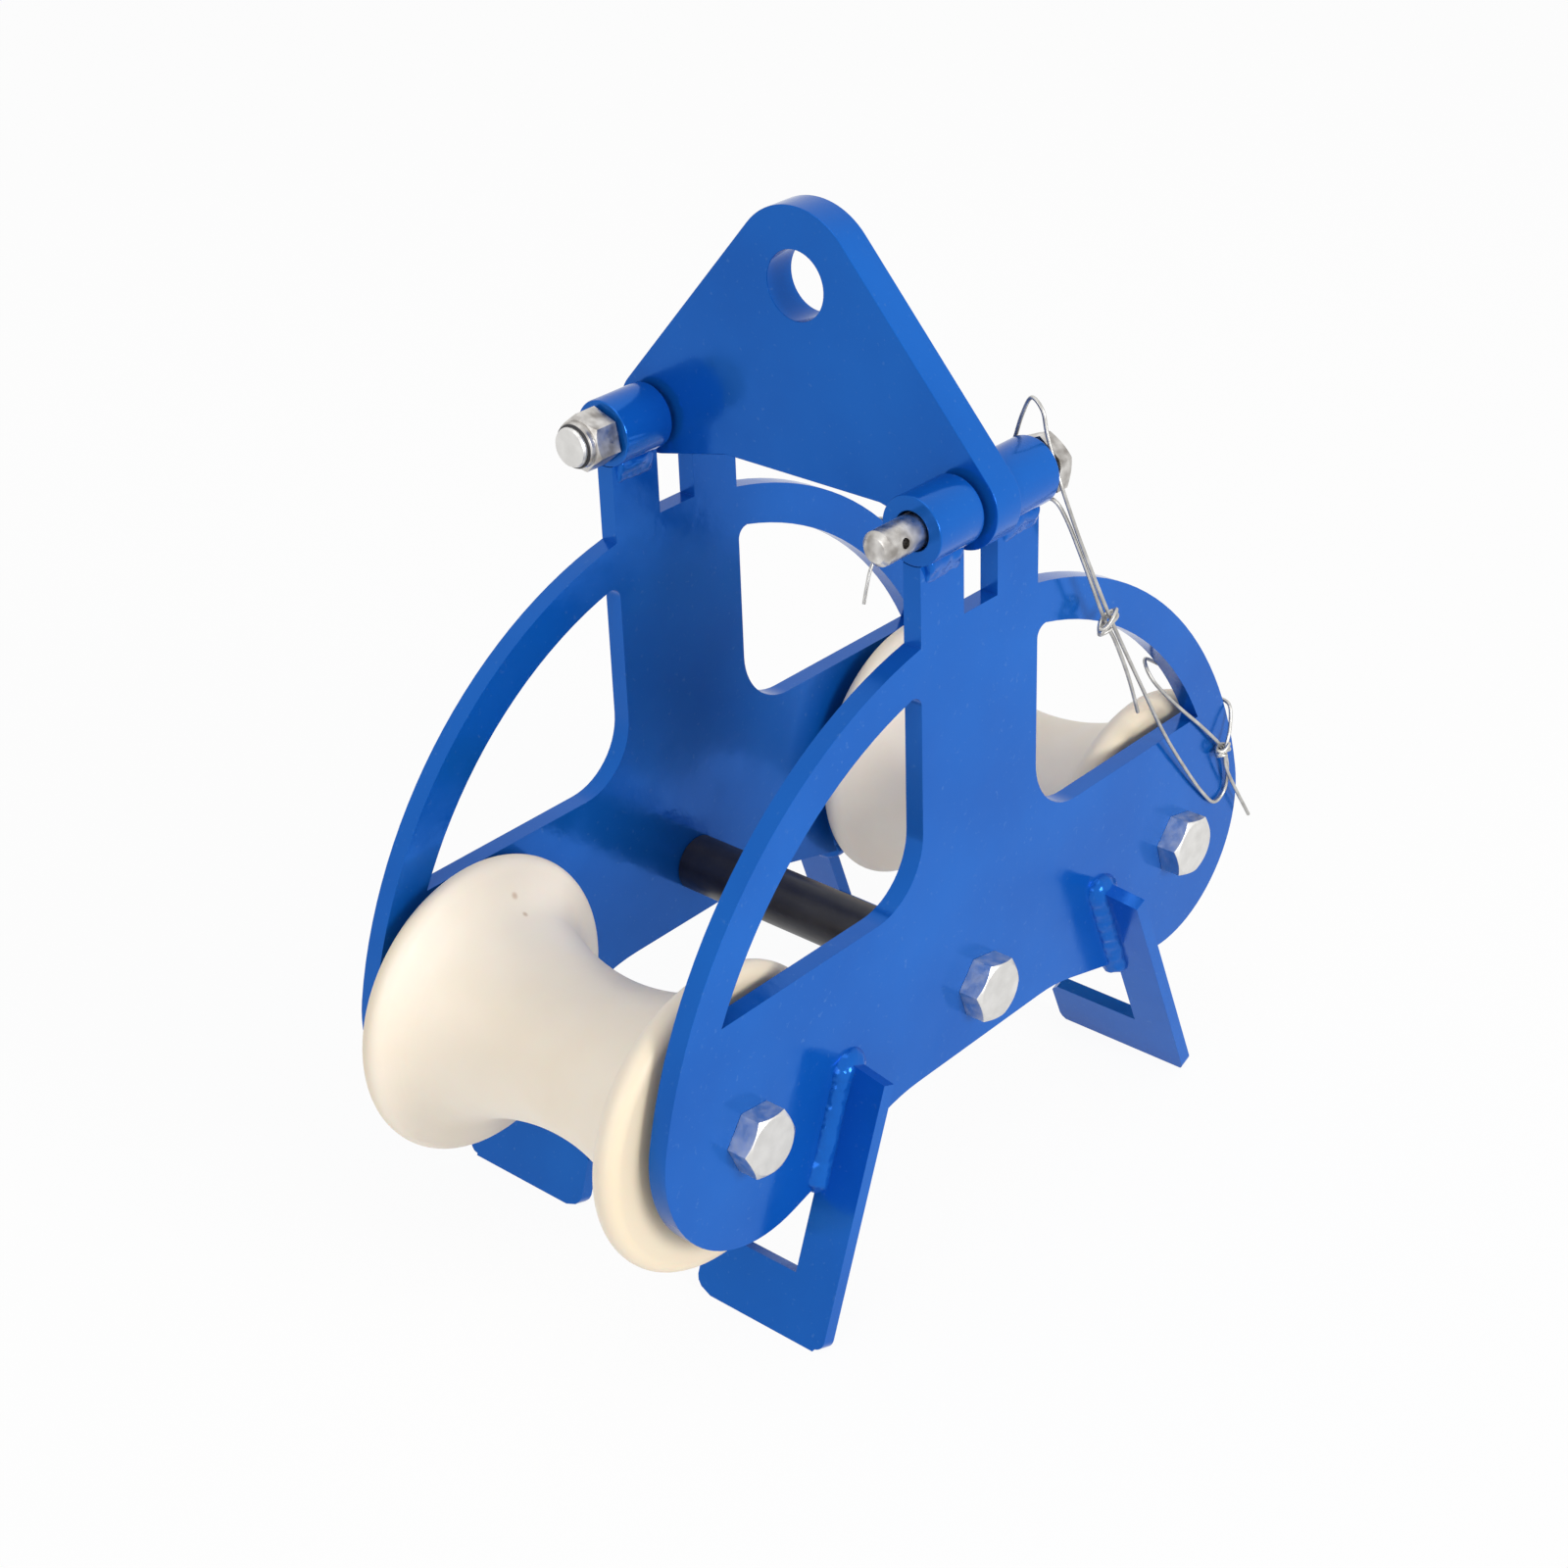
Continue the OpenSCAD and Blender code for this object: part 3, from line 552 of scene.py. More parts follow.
@dataclass
class Studio:
    """Camera, lights and pale floor.

    Angles are degrees: azimuth from +Y, fall below the level, roll about the view. A lamp is its
    name, place, size and power in watts.
    """

    eye: tuple[float, float, float] = (-0.7470, -0.6555, 0.7127)
    azimuth: float = 47.856
    fall: float = 29.084
    roll: float = -2.124
    lens: float = 65.23
    sensor: float = 36.0
    middle: tuple[float, float, float] = (0.0, 0.0, 0.18)
    floor_size: float = 12.0
    floor_level: float = -0.2 * MM
    floor_grey: float = 0.88
    floor_glow: float = 0.94
    ambient: float = 0.52
    lamps: tuple[tuple[str, tuple[float, float, float], float, float], ...] = (
        ("key", (0.0, -2.5, 0.95), 1.1, 38.0),
        ("left_fill", (-2.3, -0.5, 1.2), 1.5, 12.0),
        ("top", (0.2, -0.2, 2.4), 1.6, 7.0),
    )

    def camera(self) -> None:
        """Places the camera at the photograph's viewpoint."""
        azimuth, fall, roll = (math.radians(a) for a in (self.azimuth, self.fall, self.roll))
        ahead = Vector((math.sin(azimuth) * math.cos(fall), math.cos(azimuth) * math.cos(fall),
                        -math.sin(fall)))
        level = ahead.cross(Vector((0, 0, 1))).normalized()
        upright = level.cross(ahead)
        right = level * math.cos(roll) + upright * math.sin(roll)
        up = upright * math.cos(roll) - level * math.sin(roll)
        data = bpy.data.cameras.new("camera")
        data.lens = self.lens
        data.sensor_width = self.sensor
        data.sensor_fit = "HORIZONTAL"
        camera = bpy.data.objects.new("camera", data)
        bpy.context.scene.collection.objects.link(camera)
        turn = Matrix((right, up, -ahead)).transposed().to_4x4()
        camera.matrix_world = Matrix.Translation(self.eye) @ turn
        bpy.context.scene.camera = camera

    def light(self) -> None:
        """Hangs the soft lamps round the object, all aimed at its middle."""
        for name, place, size, power in self.lamps:
            data = bpy.data.lights.new(name, "AREA")
            data.shape = "DISK"
            data.size = size
            data.energy = power
            lamp = bpy.data.objects.new(name, data)
            bpy.context.scene.collection.objects.link(lamp)
            lamp.location = place
            aim = Vector(self.middle) - Vector(place)
            lamp.rotation_euler = aim.to_track_quat("-Z", "Y").to_euler()

    @staticmethod
    def seen_directly(tree: bpy.types.NodeTree, kinds: Sequence[str]) -> bpy.types.NodeSocket:
        """Tells whether a ray is of one of a few kinds.

        Args:
            tree: The node tree to work in.
            kinds: Outputs of the light path node.

        Returns:
            A socket that is 1 for such a ray and 0 for any other.
        """
        path = tree.nodes.new("ShaderNodeLightPath")
        seen = path.outputs[kinds[0]]
        for kind in kinds[1:]:
            total = tree.nodes.new("ShaderNodeMath")
            total.operation = "MAXIMUM"
            tree.links.new(seen, total.inputs[0])
            tree.links.new(path.outputs[kind], total.inputs[1])
            seen = total.outputs["Value"]
        return seen

    @staticmethod
    def divide(tree: bpy.types.NodeTree, share: bpy.types.NodeSocket, usual: bpy.types.NodeSocket,
               direct: bpy.types.NodeSocket, output: bpy.types.Node) -> None:
        """Shows one shader to the rays that see a thing directly, and another to the rest.

        Args:
            tree: The node tree to work in.
            share: Share of the direct shader for a ray.
            usual: Shader for the other rays.
            direct: Shader for the direct rays.
            output: Output node of the tree.
        """
        mix = tree.nodes.new("ShaderNodeMixShader")
        tree.links.new(share, mix.inputs["Fac"])
        tree.links.new(usual, mix.inputs[1])
        tree.links.new(direct, mix.inputs[2])
        tree.links.new(mix.outputs["Shader"], output.inputs["Surface"])

    def surroundings(self) -> None:
        """Makes the world an even soft light that looks white to the camera."""
        world = bpy.data.worlds.new("studio")
        bpy.context.scene.world = world
        world.use_nodes = True
        tree = world.node_tree
        tree.nodes.clear()
        dim = tree.nodes.new("ShaderNodeBackground")
        white = tree.nodes.new("ShaderNodeBackground")
        for shade, strength in ((dim, self.ambient), (white, 1.0)):
            shade.inputs["Color"].default_value = (1, 1, 1, 1)
            shade.inputs["Strength"].default_value = strength
        share = self.seen_directly(tree, ("Is Camera Ray", "Is Glossy Ray", "Is Transmission Ray"))
        self.divide(tree, share, dim.outputs["Background"], white.outputs["Background"],
                    tree.nodes.new("ShaderNodeOutputWorld"))

    def floor(self) -> None:
        """Lays the pale floor, which keeps a soft shadow."""
        select_nothing()
        bpy.ops.mesh.primitive_plane_add(size=self.floor_size, location=(0, 0, self.floor_level))
        floor = bpy.context.active_object
        floor.name = "floor"
        material = bpy.data.materials.new("pale_floor")
        material.use_nodes = True
        tree = material.node_tree
        tree.nodes.clear()
        matt = tree.nodes.new("ShaderNodeBsdfDiffuse")
        matt.inputs["Color"].default_value = (*[self.floor_grey] * 3, 1)
        glow = tree.nodes.new("ShaderNodeEmission")
        share = tree.nodes.new("ShaderNodeMath")
        share.operation = "MULTIPLY"
        share.inputs[1].default_value = self.floor_glow
        tree.links.new(self.seen_directly(tree, ("Is Camera Ray", "Is Glossy Ray")),
                       share.inputs[0])
        self.divide(tree, share.outputs["Value"], matt.outputs["BSDF"], glow.outputs["Emission"],
                    tree.nodes.new("ShaderNodeOutputMaterial"))
        floor.data.materials.append(material)

    def build(self) -> None:
        """Sets up the whole studio."""
        bpy.context.scene.view_settings.view_transform = "Standard"
        self.camera()
        self.light()
        self.surroundings()
        self.floor()


def lean_of(side: int) -> float:
    """Gives the lean of a leg in radians; side is -1 for a near leg and 1 for a far one."""
    return math.radians(SPLAYS[0 if side < 0 else 1])


def in_metres(points: Sequence[Sequence[float]]) -> list[Vector]:
    """Turns points in millimetres into vectors in metres."""
    return [Vector(p) * MM for p in points]


def curve_through(points: Sequence[Vector], steps: int) -> list[Vector]:
    """Draws a smooth line through points.

    Args:
        points: The points that the line passes.
        steps: Steps between two points.

    Returns:
        The points of the line.
    """
    line = []
    last = len(points) - 1
    for i in range(last):
        a, b, c, d = points[max(i - 1, 0)], points[i], points[i + 1], points[min(i + 2, last)]
        for k in range(steps):
            t = k / steps
            line.append(0.5 * (2 * b + (c - a) * t + (2 * a - 5 * b + 4 * c - d) * t * t
                               + (3 * b - a - 3 * c + d) * t ** 3))
    line.append(points[last])
    return line


@dataclass
class Wires:
    """The lanyard of the release pin, its two knots, and the wire tied round the far arch band.

    The points of the slack run and of the knots are millimetres. The slack is where the lanyard
    begins and ends to follow the pin; nothing reads it. A knot is its centre and its direction.
    """

    shop: Shop
    diameter: float = 1.6 * MM
    smooth_angle: float = 50.0
    steps: int = 6
    lanyard: list[Vector] = field(default_factory=lambda: in_metres([
        (98, -84, 178), (86, -87, 200), (75, -88, 220), (67, -88.6, 232), (52, -88.6, 262),
        (41, -88, 284), (37, -85, 292), (36.5, -78, 291), (36.5, -69, 294), (36.5, -65, 303),
        (36.5, -68, 314), (36.5, -71, 323), (36.5, -75, 330), (36.5, -80, 326),
        (36.5, -82, 318), (36.5, -86, 306), (38, -90, 293), (50, -90, 268), (69, -90, 232),
        (98, -86, 189), (117, -84.5, 160), (136, -83, 135), (151, -82, 117),
        (162, -81.4, 107), (170, -81.4, 110), (170, -82, 122), (163, -83, 134),
        (149, -82, 149), (131, -81.5, 166), (116, -79, 183), (118, -73, 190),
        (129, -70.6, 184), (145, -70.4, 172), (159, -70.5, 160.5), (168.5, -71, 154.5),
        (171.4, -76, 151.6), (170.6, -81.5, 149.8), (167.5, -84, 141), (164, -84.6, 132),
        (167, -84, 121), (186, -84, 91)]))
    tie: list[Vector] = field(default_factory=lambda: in_metres([
        (111, 70, 176.5), (113.8, 70.3, 184.5), (117.6, 70.9, 191.6), (125.2, 71, 199.6),
        (131.4, 71, 205.4), (133.2, 73.6, 207.2), (133.2, 78.4, 207.2), (131.4, 81, 205.4),
        (127.5, 81, 201.6), (123, 81, 197.4)]))
    slack: tuple[tuple[float, float, float], ...] = ((66, -89.5, 238), (40, -88, 287))
    knots: tuple[tuple[tuple[float, float, float], tuple[float, float, float]], ...] = (
        ((68, -89.3, 232), (11, 1, -20)), ((163.5, -83.8, 133), (2, 0, -10)))
    knot_widths: tuple[float, float] = (5.6 * MM, 3.5 * MM)
    knot_depth: float = 2.2 * MM
    knot_turns: float = 2.2
    knot_points: int = 72
    knot_bulge: float = 0.16
    knot_bulges: float = 2.5
    knot_pitch: float = 1.1
    knot_stagger: float = 0.4
    knot_weave: float = 2.3

    def tube(self, name: str, line: Sequence[Vector]) -> bpy.types.Object:
        """Makes a round wire along a line.

        Args:
            name: Name of the piece.
            line: The points that it follows.

        Returns:
            The wire as a mesh with closed ends.
        """
        data = bpy.data.curves.new(name, "CURVE")
        data.dimensions = "3D"
        data.bevel_depth = self.diameter / 2
        data.bevel_resolution = 3
        data.use_fill_caps = True
        spline = data.splines.new("POLY")
        spline.points.add(len(line) - 1)
        for point, place in zip(spline.points, line):
            point.co = (*place, 1)
        piece = bpy.data.objects.new(name, data)
        bpy.context.scene.collection.objects.link(piece)
        self.shop.pick(piece)
        bpy.ops.object.convert(target="MESH")
        piece = bpy.context.active_object
        self.shop.smooth(piece, self.smooth_angle)
        return piece

    def knot(self, number: int) -> bpy.types.Object:
        """Makes one knot: a few turns of wire round the two strands.

        Args:
            number: Which knot it is, from 0.

        Returns:
            The knot.
        """
        place, along = self.knots[number]
        lengthwise = Vector(along).normalized()
        outwards = (Vector((0, -1, 0)) + lengthwise.y * lengthwise).normalized()
        sideways = lengthwise.cross(outwards)
        line = []
        for i in range(self.knot_points + 1):
            share = i / self.knot_points
            angle = 2 * math.pi * self.knot_turns * share
            bulge = self.knot_bulge * math.sin(2 * math.pi * self.knot_bulges * share + number)
            run = (self.knot_pitch * self.knot_turns * (share - 0.5)
                   + self.knot_stagger * math.sin(self.knot_weave * angle))
            spot = (self.knot_widths[number] * (1 + bulge) * math.cos(angle) * sideways
                    + self.knot_depth * math.sin(angle) * outwards
                    + self.diameter * run * lengthwise)
            line.append(Vector(place) * MM + spot)
        return self.tube(f"lanyard_knot_{number + 1}", line)

    def build(self) -> None:
        line = curve_through(self.lanyard, self.steps)
        wire = self.tube("lanyard_wire_drawn", line)
        wire.data.materials.append(self.shop.finishes.of(Slot.WIRE))
        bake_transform(wire)
        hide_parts("lanyard_wire")
        knots = [self.knot(0), self.knot(1)]
        self.shop.dress(knots[0], Slot.WIRE, Body.FRAME, "lanyard_crimps")
        self.shop.dress(knots[1], Slot.WIRE, Body.FRAME)
        tie_line = curve_through(self.tie, self.steps)
        tie = self.tube("tie_wire_drawn", tie_line)
        self.shop.dress(tie, Slot.WIRE, Body.FRAME, "tie_wire")


@dataclass
class Steelwork:
    """Side plates, head plate, sleeves and feet, with the edges that thick paint leaves.

    The ground corner of a foot's bar lies at bar_in from the middle plane. Its radius is corner,
    and it is cut at the angles of corner_cuts, in degrees from the ground.
    """

    shop: Shop
    plate_edge: float = 0.9 * MM
    sleeve_edge: float = 0.8 * MM
    plates: tuple[str, ...] = ("near_side_plate", "far_side_plate", "head_plate")
    feet: tuple[str, ...] = ("near_left_foot", "near_right_foot", "far_left_foot", "far_right_foot")
    sleeves: tuple[str, ...] = ("near_left_sleeve", "near_right_sleeve", "far_left_sleeve",
                                "far_right_sleeve")
    bar_in: float = 35.0 * MM
    corner: float = 5.9 * MM
    corner_cuts: tuple[float, ...] = (20.0, 70.0)

    def cut(self, piece: bpy.types.Object, place: Vector, outward: Vector) -> None:
        """Cuts away what lies beyond a plane and closes the cut.

        Args:
            piece: The piece to cut.
            place: A point of the plane.
            outward: The plane's direction, towards what is cut away.
        """
        self.shop.pick(piece)
        bpy.ops.object.mode_set(mode="EDIT")
        bpy.ops.mesh.select_all(action="SELECT")
        bpy.ops.mesh.bisect(plane_co=place, plane_no=outward, use_fill=True, clear_outer=True)
        bpy.ops.object.mode_set(mode="OBJECT")

    def foot(self, node: str) -> bpy.types.Object:
        """Rounds the ground corner at the inner end of a foot's bar, then eases its edges.

        Args:
            node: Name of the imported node.

        Returns:
            The new piece.
        """
        piece = self.shop.copy_of(node, f"{node}_finished")
        end = -1 if "left" in node else 1
        side = -1 if "near" in node else 1
        lean = lean_of(side)
        ground_x = FOOT_TOP[0] + FOOT_TOP[1] * math.tan(lean)
        for angle in self.corner_cuts:
            across, up = -math.cos(math.radians(angle)), -math.sin(math.radians(angle))
            y, z = self.bar_in + self.corner * (1 + across), self.corner * (1 + up)
            place = Vector((end * (ground_x - z * math.sin(lean)), side * y, z * math.cos(lean)))
            outward = Vector((-end * up * math.sin(lean), side * across, up * math.cos(lean)))
            self.cut(piece, place, outward)
        self.shop.ease(piece, self.plate_edge, PLATE_ANGLE)
        return piece

    def build(self) -> None:
        """Makes all the painted steel."""
        pieces = {node: self.shop.eased(node, self.plate_edge) for node in self.plates}
        pieces |= {node: self.foot(node) for node in self.feet}
        pieces |= {node: self.shop.eased(node, self.sleeve_edge) for node in self.sleeves}
        for node, piece in pieces.items():
            self.shop.dress(piece, Slot.PAINT, Body.FRAME, node)


@dataclass
class Welds:
    """Hand-laid beads beside the legs and under the sleeves, covered by the paint.

    A row of sleeve bead is its offset across, its drop under the sleeve's axis and its radius.
    A skin is the height and the width of its lumps. The phases spread the drops unevenly.
    """

    shop: Shop
    face: float = 80.0 * MM
    foot_half: float = 3.0 * MM
    inset: float = 1.6 * MM
    low: float = 57.5 * MM
    high: float = FOOT_TOP[1] - 1.0 * MM
    bead: float = 7.0 * MM
    cap: float = 6.86 * MM
    cap_drop: float = 1.5 * MM
    drops: int = 7
    wander: float = 0.7 * MM
    swell: float = 0.05
    phases: tuple[float, float, float, float] = (12.9, 3.1, 5.7, 7.3)
    sleeve_reach: tuple[float, float] = (13.0 * MM, 32.5 * MM)
    sleeve_rows: tuple[tuple[float, float, float], ...] = (
        (2.6 * MM, 13.9 * MM, 4.4 * MM), (0.5 * MM, 17.3 * MM, 4.9 * MM))
    grain: float = 0.8 * MM
    melting: int = 12
    smooth_angle: float = 80.0
    foot_skin: tuple[float, float] = (0.9 * MM, 4.5 * MM)
    sleeve_skin: tuple[float, float] = (2.2 * MM, 8.0 * MM)

    def bar(self, start: Vector, end: Vector, radius: float) -> bpy.types.Object:
        """Lays one straight bead between two points.

        Args:
            start: One end of the bead.
            end: The other end.
            radius: Radius of the bead.

        Returns:
            The bead.
        """
        select_nothing()
        turn = (end - start).to_track_quat("Z", "Y").to_euler()
        bpy.ops.mesh.primitive_cylinder_add(vertices=28, radius=radius, depth=(end - start).length,
                                            location=(start + end) / 2, rotation=turn)
        return bpy.context.active_object

    def drop(self, place: Vector, radius: float) -> bpy.types.Object:
        """Adds one drop of weld metal.

        Args:
            place: Centre of the drop.
            radius: Radius of the drop.

        Returns:
            The drop.
        """
        select_nothing()
        bpy.ops.mesh.primitive_uv_sphere_add(segments=20, ring_count=12, radius=radius,
                                             location=place)
        return bpy.context.active_object

    def melt(self, pieces: Sequence[bpy.types.Object], name: str,
             skin: tuple[float, float]) -> bpy.types.Object:
        """Joins beads and drops into one lumpy skin.

        Args:
            pieces: The beads and drops.
            name: Name of the joined piece.
            skin: Height and width of the lumps.

        Returns:
            The joined piece.
        """
        self.shop.pick(pieces[0])
        for piece in pieces:
            piece.select_set(True)
        bpy.ops.object.join()
        joined = bpy.context.active_object
        joined.name = name
        bpy.ops.object.transform_apply(location=True, rotation=True, scale=True)
        self.shop.apply(joined, "REMESH", mode="VOXEL", voxel_size=self.grain)
        self.shop.apply(joined, "SMOOTH", factor=0.5, iterations=self.melting)
        texture = bpy.data.textures.new(f"{name}_lumps", "CLOUDS")
        height, texture.noise_scale = skin
        self.shop.apply(joined, "DISPLACE", texture=texture, texture_coords="GLOBAL",
                        strength=height, mid_level=0.5)
        self.shop.smooth(joined, self.smooth_angle)
        return joined

    def beside_leg(self, end: int, side: int, hand: int) -> list[bpy.types.Object]:
        """Lays the bead along one edge of one leg.

        Args:
            end: -1 for the left feet, 1 for the right ones.
            side: -1 for the near feet, 1 for the far ones.
            hand: -1 for the leg's inner edge, 1 for its outer one.

        Returns:
            The bead, the drop at its top and the drops along it.
        """
        lean = lean_of(side)
        half = (self.foot_half - self.inset) / math.cos(lean)
        bottom, top = (
            Vector((end * (FOOT_TOP[0] + (FOOT_TOP[1] - z) * math.tan(lean) + hand * half),
                    side * (self.face - self.inset), z))
            for z in (self.low, self.high))
        pieces = [self.bar(bottom, top, self.bead),
                  self.drop(top - Vector((0, 0, self.cap_drop)), self.cap)]
        each, by_end, by_side, by_size = self.phases
        for i in range(self.drops):
            wander = self.wander * math.sin(each * i + by_end * end + by_side * side + hand)
            place = bottom.lerp(top, (i + 0.5) / self.drops) + Vector((end * wander, 0, wander))
            swell = 1 + self.swell * math.sin(by_size * i + hand)
            pieces.append(self.drop(place, self.bead * swell))
        return pieces

    def under_sleeve(self, end: int, side: int, hand: int) -> list[bpy.types.Object]:
        """Lays the two rows of bead on one side of a strap's prong, under its sleeve.

        Args:
            end: -1 for the left sleeves, 1 for the right ones.
            side: -1 for the near sleeves, 1 for the far ones.
            hand: -1 or 1 for the prong's two sides.

        Returns:
            The two rows.
        """
        start, stop = (end * reach for reach in self.sleeve_reach)
        pieces = []
        for offset, fall, radius in self.sleeve_rows:
            y, z = side * HINGE[0] + hand * offset, HINGE[1] - fall
            pieces.append(self.bar(Vector((start, y, z)), Vector((stop, y, z)), radius))
        return pieces

    def build(self) -> None:
        """Makes both sets of beads."""
        places = list(itertools.product((-1, 1), repeat=3))
        feet = [piece for place in places for piece in self.beside_leg(*place)]
        self.shop.dress(self.melt(feet, "foot_welds_laid", self.foot_skin),
                        Slot.PAINT, Body.FRAME, "foot_welds")
        sleeves = [piece for place in places for piece in self.under_sleeve(*place)]
        self.shop.dress(self.melt(sleeves, "sleeve_welds_laid", self.sleeve_skin),
                        Slot.PAINT, Body.FRAME, "sleeve_welds")


@dataclass
class Rollers:
    """The two hourglass rollers, turned from nylon.

    The groove's arc and the rim's rounding are joined by a straight flank at the slope, in
    degrees from the axle, with a blend between the flank and the arc. The seat holds a bearing.
    """

    shop: Shop
    half: float = 67.0 * MM
    waist: float = 32.4 * MM
    rim: float = 61.0 * MM
    groove: float = 103.0 * MM
    rounding: float = 6.0 * MM
    blend: float = 20.0 * MM
    slope: float = 65.0
    seat: float = 23.52 * MM
    seat_depth: float = 15.0 * MM
    bore: float = 18.5 * MM
    edge: float = 0.6 * MM
    axle: tuple[float, float] = (135.0 * MM, 100.0 * MM)
    smooth_angle: float = 40.0
    steps: int = 160
    groove_steps: int = 24
    blend_steps: int = 14
    rim_steps: int = 22

    def side(self) -> list[Vector]:
        """Works out the profile of one half, from the waist to the bore.

        Returns:
            Points as (radius, distance from the middle).
        """
        along = Vector((math.sin(math.radians(self.slope)), math.cos(math.radians(self.slope))))
        across = Vector((along.y, -along.x))
        rim = Vector((self.rim - self.rounding, self.half - self.rounding))
        top = rim + self.rounding * across
        centre = Vector((self.waist + self.groove, 0))
        offset = top + self.blend * across - centre
        reach = offset.dot(along)
        gap = self.groove - self.blend
        run = -reach - math.sqrt(gap ** 2 - offset.length_squared + reach ** 2)
        bend = centre + offset + run * along
        low = top + run * along
        end = centre + self.groove * (bend - centre).normalized()
        points = []
        for i in range(self.groove_steps + 1):
            y = end.y * i / self.groove_steps
            points.append(Vector((centre.x - math.sqrt(self.groove ** 2 - y * y), y)))
        points += self.arc(bend, self.blend, end, low, self.blend_steps)[1:]
        points += self.arc(rim, self.rounding, top, Vector((rim.x, self.half)), self.rim_steps)
        floor = self.half - self.seat_depth
        points += [Vector((self.seat + self.edge, self.half)),
                   Vector((self.seat, self.half - self.edge)),
                   Vector((self.seat, floor)), Vector((self.bore, floor))]
        return points

    @staticmethod
    def arc(centre: Vector, radius: float, start: Vector, end: Vector, count: int) -> list[Vector]:
        """Draws the shorter arc between two points round a centre.

        Args:
            centre: Centre of the arc.
            radius: Radius of the arc.
            start: A point in the direction of its start.
            end: A point in the direction of its end.
            count: Steps along the arc.

        Returns:
            The points of the arc, with both ends.
        """
        first = math.atan2(start.y - centre.y, start.x - centre.x)
        turn = math.atan2(end.y - centre.y, end.x - centre.x) - first
        turn = (turn + math.pi) % (2 * math.pi) - math.pi
        angles = (first + turn * i / count for i in range(count + 1))
        return [centre + radius * Vector((math.cos(a), math.sin(a))) for a in angles]

    def turned(self, name: str, x: float) -> bpy.types.Object:
        """Turns one roller on its axle.

        Args:
            name: Name of the piece.
            x: Place of the axle along the frame.

        Returns:
            The roller.
        """
        half = self.side()
        whole = [Vector((p.x, -p.y)) for p in reversed(half[1:])] + half
        data = bpy.data.curves.new(name, "CURVE")
        data.dimensions = "3D"
        spline = data.splines.new("POLY")
        spline.points.add(len(whole) - 1)
        spline.use_cyclic_u = True
        for point, place in zip(spline.points, whole):
            point.co = (place.x, place.y, 0, 1)
        piece = bpy.data.objects.new(name, data)
        bpy.context.scene.collection.objects.link(piece)
        self.shop.pick(piece)
        bpy.ops.object.convert(target="MESH")
        piece = bpy.context.active_object
        self.shop.apply(piece, "SCREW", axis="Y", steps=self.steps, render_steps=self.steps,
                        use_merge_vertices=True, merge_threshold=SAME_POINT)
        bpy.ops.object.mode_set(mode="EDIT")
        bpy.ops.mesh.select_all(action="SELECT")
        bpy.ops.mesh.normals_make_consistent(inside=False)
        bpy.ops.object.mode_set(mode="OBJECT")
        piece.data.transform(Matrix.Translation((x, 0, self.axle[1])))
        self.shop.smooth(piece, self.smooth_angle)
        return piece

    def build(self) -> None:
        """Makes both rollers."""
        for side, body in ((-1, Body.LEFT_ROLLER), (1, Body.RIGHT_ROLLER)):
            piece = self.turned(f"{body.value}_turned", side * self.axle[0])
            self.shop.dress(piece, Slot.NYLON, body, body.value)


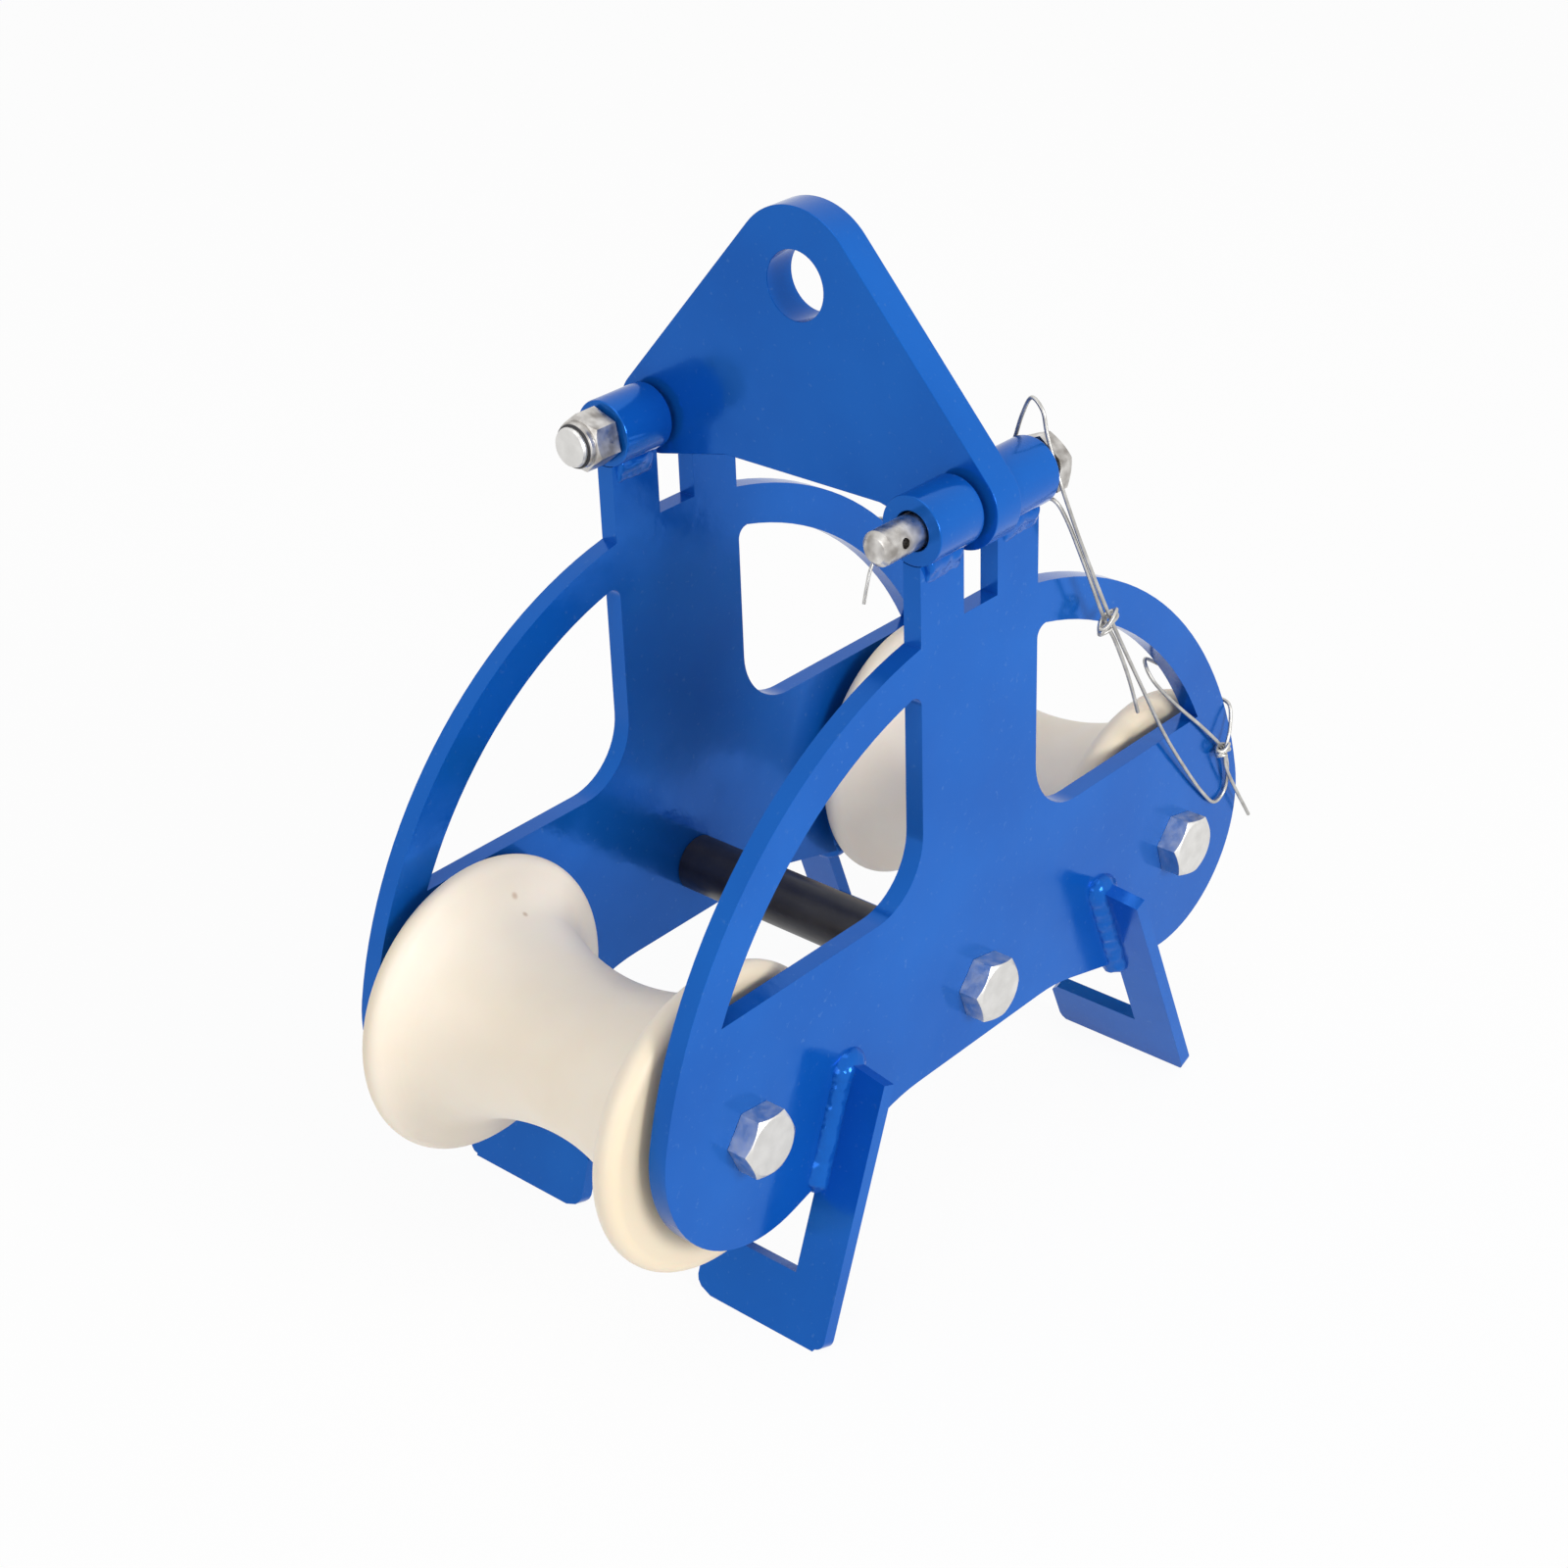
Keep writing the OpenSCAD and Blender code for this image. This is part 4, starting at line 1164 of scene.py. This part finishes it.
@dataclass
class Fasteners:
    """Bolts, nuts, washers and the release pin, with worn edges.

    A shade ring, a black ring painted as the shadow in the gap round a lock nut's bolt, is the
    radius of its middle and of its section. The hinge nut's ends are the x between them, the shift
    of the end at the sleeve and the shift of the outer end.
    """

    shop: Shop
    edge: float = 0.35 * MM
    bolts: tuple[str, ...] = ("left_axle_bolt", "right_axle_bolt", "tie_bolt")
    nuts: tuple[str, ...] = ("left_axle_nut", "right_axle_nut", "tie_nut")
    washers: tuple[str, ...] = ("left_axle_washer", "right_axle_washer", "tie_washer")
    nut_places: tuple[tuple[float, float], ...] = (
        (-135.0 * MM, 100.0 * MM), (135.0 * MM, 100.0 * MM), (0.0, 97.0 * MM))
    # Painted shade rings: place and size of the black rings that stand for the shadow in each nut's
    # gap round its bolt.
    nut_face: float = 98.8 * MM
    nut_shade_ring: tuple[float, float] = (9.0 * MM, 0.8 * MM)
    hinge_face: float = -50.6 * MM
    hinge_shade_ring: tuple[float, float] = (8.3 * MM, 0.6 * MM)
    smooth_angle: float = 60.0
    head_slim: float = 0.91
    nut_slim: float = 0.845
    nut_ends: tuple[float, float, float] = (-44.0 * MM, 6.6 * MM, 1.2 * MM)

    def shade_ring(self, name: str, place: Vector, along: Vector, ring: tuple[float, float]) -> None:
        """Adds a black ring of painted shade that stands for the shadow in the gap round the bolt
        where it leaves a lock nut.

        Args:
            name: Name of the ring.
            place: Its centre.
            along: Direction of the bolt.
            ring: Radius of its middle and of its section.
        """
        select_nothing()
        bpy.ops.mesh.primitive_torus_add(major_segments=64, minor_segments=12,
                                         major_radius=ring[0], minor_radius=ring[1],
                                         location=place,
                                         rotation=along.to_track_quat("Z", "Y").to_euler())
        piece = bpy.context.active_object
        piece.name = name
        bpy.ops.object.transform_apply(location=True, rotation=True, scale=True)
        self.shop.smooth(piece, self.smooth_angle)
        self.shop.dress(piece, Slot.RUBBER, Body.FRAME)

    def worn(self, node: str) -> bpy.types.Object:
        """Makes a copy of a fastener with worn edges."""
        return self.shop.eased(node, self.edge, FASTENER_ANGLE)

    def slimmed(self, node: str, is_nut: bool) -> bpy.types.Object:
        """Wears the edges of a piece of the hinge bolt and slims it round the bolt's axis.

        Args:
            node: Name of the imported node.
            is_nut: Whether it is the nut, which also moves to the sleeve.

        Returns:
            The piece.
        """
        piece = self.worn(node)
        y, z = HINGE
        between, inner, outer = self.nut_ends
        for vertex in piece.data.vertices:
            slim = self.nut_slim if is_nut else self.head_slim if vertex.co.x > 0 else 1.0
            vertex.co.y = y + (vertex.co.y - y) * slim
            vertex.co.z = z + (vertex.co.z - z) * slim
            if is_nut:
                vertex.co.x += inner if vertex.co.x > between else outer
        return piece

    def build(self) -> None:
        """Makes all the fasteners."""
        for node in self.bolts + self.nuts + self.washers:
            self.shop.dress(self.worn(node), Slot.ZINC, Body.FRAME, node)
        bolt, nut = self.slimmed("hinge_bolt", False), self.slimmed("hinge_nut", True)
        self.shop.dress(bolt, Slot.ZINC, Body.FRAME, "hinge_bolt")
        self.shop.dress(nut, Slot.ZINC, Body.FRAME, "hinge_nut")
        # Painted shade: a black ring at each lock nut stands for the shadow in the gap round its
        # bolt.
        for name, (x, z) in zip(self.nuts, self.nut_places):
            self.shade_ring(f"{name}_ring", Vector((x, self.nut_face, z)), Vector((0, 1, 0)),
                        self.nut_shade_ring)
        self.shade_ring("hinge_nut_shade_ring", Vector((self.hinge_face, *HINGE)), Vector((1, 0, 0)),
                    self.hinge_shade_ring)
        pin = self.worn("release_pin")
        self.shop.dress(pin, Slot.ZINC, Body.RELEASE_PIN, "release_pin")
        for piece in (pin, nut):
            piece.data.materials[0] = self.shop.finishes.worn


def main() -> None:
    """Builds the studio and every sub-assembly in order."""
    logging.basicConfig(level=logging.INFO, format="%(name)s: %(message)s")
    shop = Shop(Finishes())
    Studio().build()
    Wires(shop).build()
    Steelwork(shop).build()
    Welds(shop).build()
    Rollers(shop).build()
    Fasteners(shop).build()
    shop.finish_nodes()


if __name__ == "__main__":
    main()
